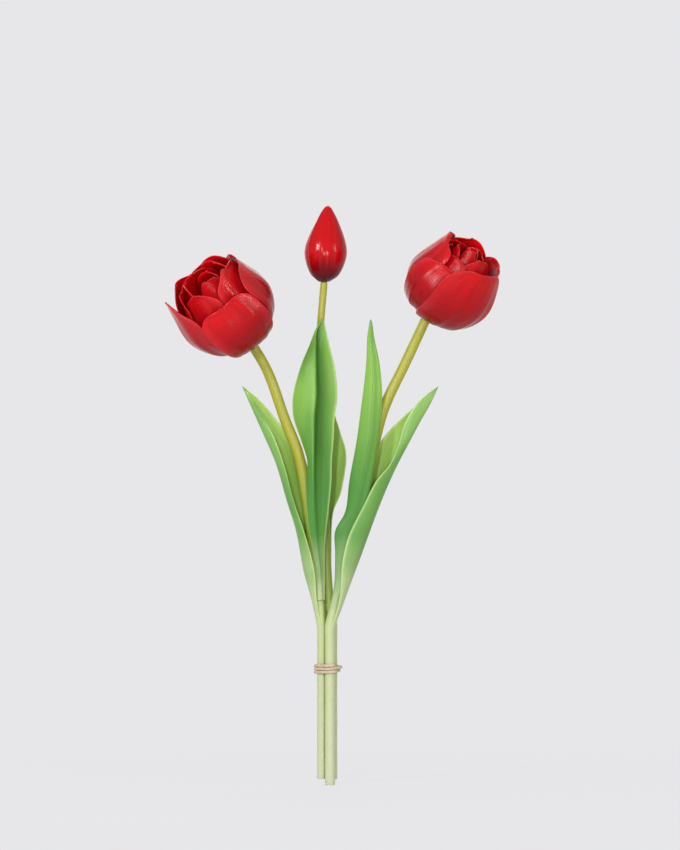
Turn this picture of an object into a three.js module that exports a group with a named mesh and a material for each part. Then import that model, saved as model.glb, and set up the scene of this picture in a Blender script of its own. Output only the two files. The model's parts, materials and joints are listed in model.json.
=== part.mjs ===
// Artificial tulip bundle: two open double heads, one bud, five leaves and a wound tie.
// Millimetres, +Z up, +X to the right and -Y to the front.
// The origin is the centre of the front stem's cut end.

import * as THREE from 'three';
import { mergeVertices } from 'three/addons/utils/BufferGeometryUtils.js';

// Stems
const shankRadius = 3.5;
const shankGap = 0.4;
const bundleTurn = 138;
const leftFootHeight = 4;
const budFootHeight = 3.5;
const bendLow = 90;
const bendHigh = 102;
const straightTop = 110;
const sleeveGap = 0.3;
const flowerStemSwell = 3.9;
const flowerNeckRadius = 3.5;
const budStemSwell = 2.9;
const budNeckRadius = 2.5;
const stemSides = 12;
const stemStep = 12;
const bendSteps = 4;
const domeAngles = [30, 60];
const pathParts = 600;
const halvings = 40;

// Necks, where the heads sit: across, from front to back, and height
const leftNeckAcross = -57.3;
const leftNeckDepth = -4;
const leftNeckHeight = 309.5;
const rightNeckAcross = 68.1;
const rightNeckDepth = -4;
const rightNeckHeight = 325.8;
const budNeckAcross = -4.2;
const budNeckDepth = 10.5;
const budNeckHeight = 346.5;

// Wires
const wireRadius = 1.2;
const wireClearance = 0.4;
const wirePlug = 8;
const wireShort = 6;

// Flower bases
const neckClearance = 0.3;
const baseFloor = 1.6;
const seatGap = 0.5;
const baseTipRise = 1.2;
const baseLastStep = 2;
const baseSides = 16;

// Petals
const petalThickness = 1.1;
const budPetalThickness = 0.8;
const petalGap = 0.3;
const petalTipHalf = 1.2;
const petalFoot = 0.3;
const petalWidest = 0.58;
const petalPointed = 0.5;
const petalForm = { shoulder: { radius: 0.74, height: 0.22 }, throat: { radius: 0.56, height: 0.65 } };
const budForm = { shoulder: { radius: 0.58, height: 0.22 }, throat: { radius: 0.37, height: 0.65 } };
const petalSeatFade = 0.2;
const petalShingle = 1.07;
const petalSpread = 90;
const petalSeatSpread = 54;
const petalColumns = 4;
const petalRows = 7;

// Whorls: a petal's height above the neck, its radius at the belly and at the mouth, and
// half of its width
const leftOuterPetal = { height: 57, belly: 34, mouth: 26.5, half: 24 };
const leftMiddlePetal = { height: 58, belly: 27, mouth: 17, half: 18 };
const leftInnerPetal = { height: 57, belly: 17, mouth: 8, half: 12.5 };
const rightOuterPetal = { height: 55, belly: 30.4, mouth: 22.5, half: 24 };
const rightMiddlePetal = { height: 54, belly: 24, mouth: 13, half: 16 };
const rightInnerPetal = { height: 57, belly: 14, mouth: 7, half: 10.5 };
const budOuterPetal = { height: 51, belly: 15, mouth: 2.6, half: 19 };
const budInnerPetal = { height: 40, belly: 9.8, mouth: 3.4, half: 7.4 };

// Leaves
const leafThickness = 1.2;
const leafClearance = 0.5;
const leafHalfColumns = 3;
const leafRows = 14;

// Leaf feet on their stems, and leaf lengths
const leftOuterLeafFoot = 104;
const leftOuterLeafLength = 171;
const leftInnerLeafFoot = 127;
const leftInnerLeafLength = 195;
const budLeafFoot = 132;
const budLeafLength = 138;
const rightInnerLeafFoot = 118;
const rightInnerLeafLength = 203;
const rightOuterLeafFoot = 104;
const rightOuterLeafLength = 171;

// Tie
const tieHeight = 80;
const tieStrandRadius = 0.85;
const tiePitch = 2.25;
const tieTurns = 2.6;
const tieClearance = 0.35;
const tieSlack = 1.4;
const tieSlackTurn = 1.75;
const tieSlackSpread = 0.07;
const tieStepsPerTurn = 24;
const tieSides = 6;

// Each seat is the ring on the flower base where a whorl's petals are glued.
// The whorl is widest at its belly height.
const seats = {
  outer: { radius: 8.5, height: 2.4, bellyHeight: 24 },
  middle: { radius: 6.6, height: 7.6, bellyHeight: 26 },
  inner: { radius: 4.8, height: 11.8, bellyHeight: 28 },
};
const budSeats = {
  outer: { radius: 4.6, height: 1.8, bellyHeight: 21.5 },
  inner: { radius: 3.6, height: 5.2, bellyHeight: 20 },
};

// Corners closer than this are one corner.
const cornerReach = 1e-3;

// Bundle layout: three shanks in a close triangle, the front one at the origin.
const shankSpacing = 2 * shankRadius + shankGap;

function shankPlace(turn) {
  const angle = THREE.MathUtils.degToRad(turn);
  return [shankSpacing * Math.cos(angle), shankSpacing * Math.sin(angle)];
}

const rightShank = [0, 0];
const leftShank = shankPlace(bundleTurn);
const budShank = shankPlace(bundleTurn - 60);

// A stem's path runs straight up its shank, then through its bends to the neck. Each bend
// gives how much of the way to the neck it has gone across, from front to back and up.
function makeStem({ name, shank, foot, neckPlace, bends, swell, neck }) {
  const { lerp } = THREE.MathUtils;
  const straight = [foot, bendLow, bendHigh, straightTop].map((height) => [...shank, height]);
  const start = [...shank, straightTop];
  const curved = bends.map((bend) => bend.map((share, axis) => lerp(start[axis], neckPlace[axis], share)));
  const points = [...straight, ...curved, neckPlace].map((point) => new THREE.Vector3(...point));
  const path = new THREE.CatmullRomCurve3(points);
  path.arcLengthDivisions = pathParts;
  return { name, path, foot, swell, neck, length: path.getLength() };
}

const leftStem = makeStem({
  name: 'left',
  shank: leftShank,
  foot: leftFootHeight,
  neckPlace: [leftNeckAcross, leftNeckDepth, leftNeckHeight],
  bends: [
    [0.074, 0.084, 0.156],
    [0.133, 0.24, 0.296],
    [0.2, 0.419, 0.436],
    [0.303, 0.553, 0.582],
    [0.493, 0.665, 0.712],
    [0.734, 0.832, 0.884],
  ],
  swell: flowerStemSwell,
  neck: flowerNeckRadius,
});

const rightStem = makeStem({
  name: 'right',
  shank: rightShank,
  foot: 0,
  neckPlace: [rightNeckAcross, rightNeckDepth, rightNeckHeight],
  bends: [
    [0.127, 0, 0.144],
    [0.228, 0, 0.273],
    [0.331, 0.125, 0.403],
    [0.455, 0.25, 0.593],
    [0.558, 0.4, 0.704],
    [0.762, 0.65, 0.839],
  ],
  swell: flowerStemSwell,
  neck: flowerNeckRadius,
});

const budStem = makeStem({
  name: 'bud',
  shank: budShank,
  foot: budFootHeight,
  neckPlace: [budNeckAcross, budNeckDepth, budNeckHeight],
  bends: [
    [0.477, 0.233, 0.093],
    [0.965, 0.54, 0.381],
    [1.366, 0.724, 0.643],
    [1.47, 0.847, 0.846],
  ],
  swell: budStemSwell,
  neck: budNeckRadius,
});

// Distance along a stem at a height on its straight shank.
function shankDistance(stem, height) {
  return height - stem.foot;
}

function stemPoint(stem, distance) {
  const share = THREE.MathUtils.clamp(distance / stem.length, 0, 1);
  const tangent = stem.path.getTangentAt(share);
  const point = stem.path.getPointAt(share);
  point.addScaledVector(tangent, distance - share * stem.length);
  return { point, tangent };
}

function stemRadius(stem, distance) {
  const bendTop = shankDistance(stem, bendHigh);
  const middle = (bendTop + stem.length) / 2;
  if (distance <= bendTop) {
    return shankRadius;
  }
  if (distance <= middle) {
    const rise = THREE.MathUtils.smoothstep(distance, bendTop, middle);
    return THREE.MathUtils.lerp(shankRadius, stem.swell, rise);
  }
  const fall = THREE.MathUtils.smoothstep(distance, middle, stem.length);
  return THREE.MathUtils.lerp(stem.swell, stem.neck, fall);
}

// The stem's centre at a height, found by halving the distance range.
function stemCentreAtHeight(stem, height) {
  let low = 0;
  let high = 2 * stem.length;
  for (let step = 0; step < halvings; step += 1) {
    const middle = (low + high) / 2;
    if (stemPoint(stem, middle).point.z < height) {
      low = middle;
    } else {
      high = middle;
    }
  }
  return { distance: low, point: stemPoint(stem, low).point };
}

// Merge shared corners, drop collapsed triangles and turn every face outwards.
function closedBody(geometry) {
  geometry.deleteAttribute('normal');
  geometry.deleteAttribute('uv');
  const merged = mergeVertices(geometry, cornerReach);
  const corner = (index) => new THREE.Vector3().fromBufferAttribute(merged.attributes.position, index);
  const kept = [];
  let volume = 0;
  for (let start = 0; start < merged.index.count; start += 3) {
    const [a, b, c] = [0, 1, 2].map((offset) => merged.index.getX(start + offset));
    if (a === b || b === c || a === c) {
      continue;
    }
    kept.push(a, b, c);
    volume += corner(a).dot(corner(b).cross(corner(c)));
  }
  merged.setIndex(volume < 0 ? kept.reverse() : kept);
  merged.computeVertexNormals();
  return merged;
}

// A turned profile of [radius, distance] points, bent along a stem's path.
function turnedAlongStem(stem, profile) {
  const points = profile.map(([radius, distance]) => new THREE.Vector2(radius, distance));
  const geometry = new THREE.LatheGeometry(points, stemSides);
  const places = geometry.attributes.position;
  for (let index = 0; index < places.count; index += 1) {
    const across = places.getX(index);
    const distance = places.getY(index);
    const depth = places.getZ(index);
    const { point, tangent } = stemPoint(stem, distance);
    const right = new THREE.Vector3(1, 0, 0).addScaledVector(tangent, -tangent.x).normalize();
    const back = new THREE.Vector3().crossVectors(tangent, right);
    point.addScaledVector(right, across).addScaledVector(back, depth);
    places.setXYZ(index, point.x, point.y, point.z);
  }
  return closedBody(geometry);
}

// Distances from low to high, with every whole stem step that lies well between them.
function stations(low, high) {
  const margin = stemStep / 5;
  const places = [low];
  for (let place = 0; place < high - margin; place += stemStep) {
    if (place > low + margin) {
      places.push(place);
    }
  }
  return [...places, high];
}

const boreRadius = wireRadius + wireClearance;

function shankGeometry(stem) {
  const top = shankDistance(stem, bendLow) - sleeveGap / 2;
  return turnedAlongStem(stem, [
    [0, 0],
    [shankRadius, 0],
    [shankRadius, top],
    [boreRadius, top],
    [boreRadius, wirePlug],
    [0, wirePlug],
  ]);
}

function bendGeometry(stem) {
  const low = shankDistance(stem, bendLow) + sleeveGap / 2;
  const high = shankDistance(stem, bendHigh) - sleeveGap / 2;
  const places = evenPlaces(low, high, bendSteps);
  return turnedAlongStem(stem, [
    ...places.map((distance) => [shankRadius, distance]),
    ...places.reverse().map((distance) => [boreRadius, distance]),
    [shankRadius, low],
  ]);
}

function upperStemGeometry(stem) {
  const low = shankDistance(stem, bendHigh) + sleeveGap / 2;
  const boreTop = stem.length - wireShort;
  const bore = stations(low, boreTop).reverse().map((distance) => [boreRadius, distance]);
  const skin = stations(low, stem.length).map((distance) => [stemRadius(stem, distance), distance]);
  const dome = domeAngles.map((degrees) => {
    const angle = THREE.MathUtils.degToRad(degrees);
    return [stem.neck * Math.cos(angle), stem.length + stem.neck * Math.sin(angle)];
  });
  return turnedAlongStem(stem, [
    [0, boreTop],
    ...bore,
    ...skin,
    ...dome,
    [0, stem.length + stem.neck],
  ]);
}

function wireGeometry(stem) {
  const low = wirePlug + wireClearance;
  const high = stem.length - wireShort - wireClearance;
  const skin = stations(low, high).map((distance) => [wireRadius, distance]);
  return turnedAlongStem(stem, [[0, low], ...skin, [0, high]]);
}

// A sheet of even thickness over surface(u, v), u from -1 to 1 and v from 0 to 1.
function sheetSolid(surface, columnPlaces, rowPlaces, thickness) {
  const nudge = 1e-3;
  const wide = columnPlaces.length;
  const faces = [[], []];
  for (const v of rowPlaces) {
    for (const u of columnPlaces) {
      const left = surface(Math.max(u - nudge, -1), v);
      const right = surface(Math.min(u + nudge, 1), v);
      const below = surface(u, Math.max(v - nudge, 0));
      const above = surface(u, Math.min(v + nudge, 1));
      const normal = right.sub(left).cross(above.sub(below)).normalize();
      const point = surface(u, v);
      faces[0].push(point.clone().addScaledVector(normal, thickness / 2));
      faces[1].push(point.clone().addScaledVector(normal, -thickness / 2));
    }
  }
  const sheet = wide * rowPlaces.length;
  const triangles = [];
  const quad = (a, b, c, d) => triangles.push(a, b, c, a, c, d);
  for (let row = 0; row + 1 < rowPlaces.length; row += 1) {
    for (let column = 0; column + 1 < wide; column += 1) {
      const a = row * wide + column;
      quad(a, a + 1, a + wide + 1, a + wide);
      quad(sheet + a + wide, sheet + a + wide + 1, sheet + a + 1, sheet + a);
    }
    const first = row * wide;
    const last = first + wide - 1;
    quad(sheet + first, first, first + wide, sheet + first + wide);
    quad(last, sheet + last, sheet + last + wide, last + wide);
  }
  const top = sheet - wide;
  for (let column = 0; column + 1 < wide; column += 1) {
    quad(sheet + column, sheet + column + 1, column + 1, column);
    quad(top + column, top + column + 1, sheet + top + column + 1, sheet + top + column);
  }
  const geometry = new THREE.BufferGeometry().setFromPoints([...faces[0], ...faces[1]]);
  geometry.setIndex(triangles);
  return closedBody(geometry);
}

function evenPlaces(low, high, count) {
  return Array.from({ length: count + 1 }, (_, index) => low + ((high - low) * index) / count);
}

// A petal rises from its seat, swells to its belly and closes towards its mouth.
function petalProfile(petal, size, seat, form) {
  const height = petal.height * size.height;
  const belly = petal.belly * size.belly;
  const mouth = petal.mouth * size.mouth;
  const { lerp } = THREE.MathUtils;
  const rise = (share) => lerp(seat.height, seat.bellyHeight, share);
  const close = (share) => lerp(seat.bellyHeight, height, share);
  return new THREE.CatmullRomCurve3([
    new THREE.Vector3(seat.radius, seat.height, 0),
    new THREE.Vector3(form.shoulder.radius * belly, rise(form.shoulder.height), 0),
    new THREE.Vector3(belly, seat.bellyHeight, 0),
    new THREE.Vector3(lerp(belly, mouth, form.throat.radius), close(form.throat.height), 0),
    new THREE.Vector3(mouth, height, 0),
  ]);
}

function petalHalfWidth(petal, size, v) {
  const half = petal.half * size.half;
  const { sharp = petalPointed } = petal;
  if (v < petalWidest) {
    const spread = Math.sin(((Math.PI / 2) * v) / petalWidest);
    return half * THREE.MathUtils.lerp(petalFoot, 1, spread);
  }
  const share = (v - petalWidest) / (1 - petalWidest);
  return Math.max(petalTipHalf, half * (1 - share ** 2) ** sharp);
}

// Neighbours overlap like shingles: one edge of each petal lies out, the other in. Layers
// are counted in petal thicknesses with their gap. A petal's tip may skew to one side.
function petalSurface(petal, size, seat, form, thickness) {
  const profile = petalProfile(petal, size, seat, form);
  const { degToRad, lerp, smoothstep } = THREE.MathUtils;
  const { turn, layer = 0, shingle = petalShingle, skew = 0, spread = petalSpread } = petal;
  return (u, v) => {
    const place = profile.getPoint(v);
    const slope = profile.getTangent(v);
    const offset = (layer + shingle * u) * (thickness + petalGap);
    const fade = smoothstep(v, 0, petalSeatFade);
    const radius = place.x + offset * slope.y * fade;
    const height = place.y - offset * slope.x;
    const limit = lerp(Math.min(spread, petalSeatSpread), spread, fade);
    const halfAngle = Math.min(petalHalfWidth(petal, size, v) / place.x, degToRad(limit));
    const angle = degToRad(turn + skew * smoothstep(v, 0, 1)) + u * halfAngle;
    return new THREE.Vector3(radius * Math.cos(angle), radius * Math.sin(angle), height);
  };
}

function petalGeometry(petal, size, seat, form, thickness) {
  const surface = petalSurface(petal, size, seat, form, thickness);
  const columns = evenPlaces(-1, 1, petalColumns);
  const rows = evenPlaces(0, Math.PI / 2, petalRows).map((angle) => Math.min(1, Math.sin(angle)));
  return sheetSolid(surface, columns, rows, thickness);
}

// The flower base: a cup for the stem's round tip, with one step for each whorl.
function flowerBaseGeometry(neckRadius, rings) {
  const cup = neckRadius + neckClearance;
  const profile = [[0, cup]];
  for (const degrees of [...domeAngles].reverse()) {
    const angle = THREE.MathUtils.degToRad(degrees);
    profile.push([cup * Math.cos(angle), cup * Math.sin(angle)]);
  }
  profile.push([Math.sqrt(cup ** 2 - baseFloor ** 2), baseFloor]);
  rings.forEach((ring, index) => {
    const radius = ring.radius - seatGap;
    const next = rings[index + 1];
    const low = index === 0 ? baseFloor : (ring.height + rings[index - 1].height) / 2;
    const high = next ? (ring.height + next.height) / 2 - seatGap : ring.height + baseLastStep;
    profile.push([radius, low], [radius, high]);
  });
  const last = rings[rings.length - 1];
  profile.push([0, last.height + baseLastStep + baseTipRise]);
  const points = profile.map(([radius, height]) => new THREE.Vector2(radius, height));
  return closedBody(new THREE.LatheGeometry(points, baseSides).rotateX(Math.PI / 2));
}

// Leaves follow their stem. Each row gives its share of the leaf's length, then how far the
// keel and the two margins stand out from the stem's skin and to the side of its centre.
// Each half bows out like a channel's wall where its roundness is above 0 and is hollow
// below 0.
function leafSurface(leaf) {
  const out = new THREE.Vector3(...leaf.out, 0);
  const side = new THREE.Vector3(-out.y, out.x, 0);
  const curves = ['first', 'keel', 'second'].map((line) => {
    const points = leaf.rows.map((row) => {
      const { distance, point } = stemCentreAtHeight(leaf.stem, leaf.foot + row.along * leaf.length);
      const skin = stemRadius(leaf.stem, distance) + leafClearance + leafThickness / 2;
      const [outwards, sideways] = row[line];
      return point.addScaledVector(out, skin + outwards).addScaledVector(side, sideways);
    });
    return new THREE.CatmullRomCurve3(points);
  });
  return (u, v) => {
    const [first, keel, second] = curves.map((curve) => curve.getPoint(v));
    const margin = u < 0 ? first : second;
    const round = u < 0 ? leaf.firstRound : leaf.secondRound;
    const share = Math.abs(u);
    const across = margin.clone().sub(keel);
    const control = keel.clone().lerp(margin, 0.5);
    control.addScaledVector(side, 0.5 * round * across.dot(side));
    control.addScaledVector(out, -0.5 * round * across.dot(out));
    const point = keel.clone().multiplyScalar((1 - share) ** 2);
    point.addScaledVector(control, 2 * share * (1 - share));
    return point.addScaledVector(margin, share ** 2);
  };
}

function leafGeometry(leaf) {
  const columns = evenPlaces(-1, 1, 2 * leafHalfColumns);
  const rows = evenPlaces(0, 1, leafRows);
  return sheetSolid(leafSurface(leaf), columns, rows, leafThickness);
}

// The tie is one strand wound round the three shanks, with one slack bight at the right.
function tiePath() {
  const shanks = [rightShank, leftShank, budShank];
  const reach = shankRadius + tieClearance + tieStrandRadius;
  const steps = Math.round(tieTurns * tieStepsPerTurn);
  const points = [];
  for (let step = 0; step <= steps; step += 1) {
    const turn = step / tieStepsPerTurn;
    const angle = 2 * Math.PI * turn + Math.PI / 2;
    const [alongX, alongY] = [Math.cos(angle), Math.sin(angle)];
    const support = ([x, y]) => x * alongX + y * alongY;
    const carrier = shanks.reduce((best, shank) => (support(shank) > support(best) ? shank : best));
    const slack = tieSlack * Math.exp(-(((turn - tieSlackTurn) / tieSlackSpread) ** 2));
    points.push(new THREE.Vector3(
      carrier[0] + (reach + slack) * alongX,
      carrier[1] + (reach + slack) * alongY,
      tieHeight + tiePitch * (turn - tieTurns / 2),
    ));
  }
  return points;
}

function leastStrandGap(points) {
  const apart = Math.round(tieStepsPerTurn / 2);
  let least = Infinity;
  points.forEach((point, index) => {
    for (let other = index + apart; other < points.length; other += 1) {
      least = Math.min(least, point.distanceTo(points[other]));
    }
  });
  return least - 2 * tieStrandRadius;
}

function tieGeometry() {
  const points = tiePath();
  console.log(`least gap between the tie's strands: ${leastStrandGap(points).toFixed(2)} mm`);
  const ring = Array.from({ length: tieSides }, (_, index) => {
    const angle = (2 * Math.PI * index) / tieSides;
    return new THREE.Vector2(tieStrandRadius * Math.cos(angle), tieStrandRadius * Math.sin(angle));
  });
  const path = new THREE.CatmullRomCurve3(points);
  const geometry = new THREE.ExtrudeGeometry(new THREE.Shape(ring), {
    steps: points.length - 1,
    extrudePath: path,
    bevelEnabled: false,
  });
  return closedBody(geometry);
}

function plastic(colour, roughness) {
  return new THREE.MeshStandardMaterial({ color: colour, roughness, metalness: 0 });
}

const materials = {
  petal: plastic(0xb01c1f, 0.38),
  budPetal: plastic(0xa81a20, 0.3),
  leaf: plastic(0x6f9f45, 0.42),
  stem: plastic(0xa6a644, 0.45),
  shank: plastic(0xccd0a0, 0.5),
  flowerBase: plastic(0x8fa04a, 0.6),
  tie: plastic(0xd8c3ab, 0.7),
  wire: new THREE.MeshStandardMaterial({ color: 0x8a8d90, roughness: 0.35, metalness: 1 }),
};

function named(name, geometry, material) {
  const mesh = new THREE.Mesh(geometry, material);
  mesh.name = name;
  return mesh;
}

// A head sits on its stem's neck, leaning sideways and nodding to the front.
function headGroup({ name, stem, lean, nod, whorls, rings, form, thickness, material }) {
  const sideways = THREE.MathUtils.degToRad(lean);
  const forwards = THREE.MathUtils.degToRad(nod);
  const axis = new THREE.Vector3(
    Math.sin(sideways) * Math.cos(forwards),
    -Math.sin(forwards),
    Math.cos(sideways) * Math.cos(forwards),
  );
  const right = new THREE.Vector3(Math.cos(sideways), 0, -Math.sin(sideways));
  const back = new THREE.Vector3().crossVectors(axis, right);
  const group = new THREE.Group();
  group.position.copy(stemPoint(stem, stem.length).point);
  group.quaternion.setFromRotationMatrix(new THREE.Matrix4().makeBasis(right, back, axis));
  const usedRings = Object.keys(whorls).map((whorl) => rings[whorl]);
  group.add(named(`${name}_flower_base`, flowerBaseGeometry(stem.neck, usedRings), materials.flowerBase));
  for (const [whorl, { size, petals }] of Object.entries(whorls)) {
    petals.forEach((petal, index) => {
      const geometry = petalGeometry(petal, size, rings[whorl], form, thickness);
      group.add(named(`${name}_${whorl}_petal_${index + 1}`, geometry, material));
    });
  }
  return group;
}

const leftHead = {
  name: 'left',
  stem: leftStem,
  lean: -38,
  nod: 32,
  rings: seats,
  form: petalForm,
  thickness: petalThickness,
  material: materials.petal,
  whorls: {
    outer: {
      size: leftOuterPetal,
      petals: [
        { turn: -84, height: 0.84, belly: 1, mouth: 1.03, half: 0.875,
          layer: 2.1, shingle: 0, sharp: 0.38, skew: -8 },
        { turn: -152, height: 1.12, belly: 1, mouth: 1.11, half: 1,
          layer: -0.5, shingle: 0, sharp: 1.1, skew: -21 },
        { turn: 132, height: 1, belly: 0.986, mouth: 1, half: 1, layer: -1.429, shingle: -0.786 },
        { turn: 68, height: 1.02, belly: 0.96, mouth: 0.905, half: 1, layer: -1.429, shingle: -0.786 },
        { turn: -2, height: 0.97, belly: 0.97, mouth: 0.95, half: 1.12, layer: 0.571, shingle: 0 },
      ],
    },
    middle: {
      size: leftMiddlePetal,
      petals: [
        { turn: -134, height: 1, belly: 1, mouth: 0.95, half: 1.05, sharp: 0.55 },
        { turn: 168, height: 0.98, belly: 1, mouth: 1.05, half: 0.944, sharp: 0.6 },
        { turn: 100, height: 0.98, belly: 1, mouth: 1.05, half: 1 },
        { turn: 42, height: 1, belly: 1, mouth: 1, half: 1 },
        { turn: -38, height: 1.04, belly: 1, mouth: 1.15, half: 1.15, sharp: 0.35 },
      ],
    },
    inner: {
      size: leftInnerPetal,
      petals: [
        { turn: -78, height: 1, belly: 1, mouth: 0.5, half: 1 },
        { turn: 50, height: 1, belly: 1, mouth: 1.1, half: 1.077 },
        { turn: 172, height: 1.1, belly: 1, mouth: 1.4, half: 1 },
      ],
    },
  },
};

const rightHead = {
  name: 'right',
  stem: rightStem,
  lean: 33,
  nod: 25,
  rings: seats,
  form: petalForm,
  thickness: petalThickness,
  material: materials.petal,
  whorls: {
    outer: {
      size: rightOuterPetal,
      petals: [
        { turn: -68, height: 1.04, belly: 1.03, mouth: 1.05, half: 1.04,
          layer: 1.857, shingle: 0, sharp: 0.8, skew: 22 },
        { turn: -122, height: 0.85, belly: 1, mouth: 1.12, half: 0.74,
          layer: 0.571, shingle: 0, sharp: 0.5, skew: 14 },
        { turn: -174, height: 1.07, belly: 1, mouth: 0.82, half: 1.12,
          layer: -1.143, shingle: -0.786, sharp: 0.36 },
        { turn: 100, height: 1.08, belly: 1, mouth: 0.8, half: 1.04,
          layer: -1.571, shingle: -0.786, sharp: 0.75 },
        { turn: 20, height: 0.98, belly: 1.03, mouth: 1.06, half: 1.08,
          layer: 0.571, shingle: 0, sharp: 0.42 },
      ],
    },
    middle: {
      size: rightMiddlePetal,
      petals: [
        { turn: -110, height: 0.96, belly: 1, mouth: 1.071, half: 1 },
        { turn: -165, height: 0.98, belly: 1, mouth: 1, half: 0.938 },
        { turn: 135, height: 1, belly: 1, mouth: 1, half: 1 },
        { turn: 50, height: 1, belly: 1, mouth: 1.071, half: 1.125 },
        { turn: -35, height: 1.04, belly: 1, mouth: 1, half: 1.125 },
      ],
    },
    inner: {
      size: rightInnerPetal,
      petals: [
        { turn: -75, height: 1.02, belly: 1, mouth: 0.35, half: 1, sharp: 0.4, spread: 56 },
        { turn: 45, height: 1, belly: 1, mouth: 1, half: 1.05, sharp: 0.4, spread: 56 },
        { turn: -155, height: 1, belly: 1, mouth: 1.25, half: 1, sharp: 0.4, spread: 56 },
      ],
    },
  },
};

const budHead = {
  name: 'bud',
  stem: budStem,
  lean: 3.5,
  nod: 2,
  rings: budSeats,
  form: budForm,
  thickness: budPetalThickness,
  material: materials.budPetal,
  whorls: {
    outer: {
      size: budOuterPetal,
      petals: [
        { turn: -90, height: 1.06, belly: 1, mouth: 0.2, half: 0.76,
          layer: 0.75, shingle: -0.75, sharp: 0.8, spread: 54 },
        { turn: 30, height: 0.99, belly: 1, mouth: 0.6, half: 1,
          layer: -0.85, shingle: 0.85, sharp: 0.8, spread: 76 },
        { turn: 150, height: 0.96, belly: 1, mouth: 0.4, half: 1,
          layer: -0.85, shingle: 0.85, sharp: 0.8, spread: 76 },
      ],
    },
    inner: {
      size: budInnerPetal,
      petals: [
        { turn: -30, height: 1, belly: 1, mouth: 1, half: 1, shingle: 0.455, sharp: 0.7 },
        { turn: 90, height: 1, belly: 1, mouth: 1, half: 1, shingle: 0.455, sharp: 0.7 },
        { turn: 210, height: 1, belly: 1, mouth: 1, half: 1, shingle: 0.455, sharp: 0.7 },
      ],
    },
  },
};

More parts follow.
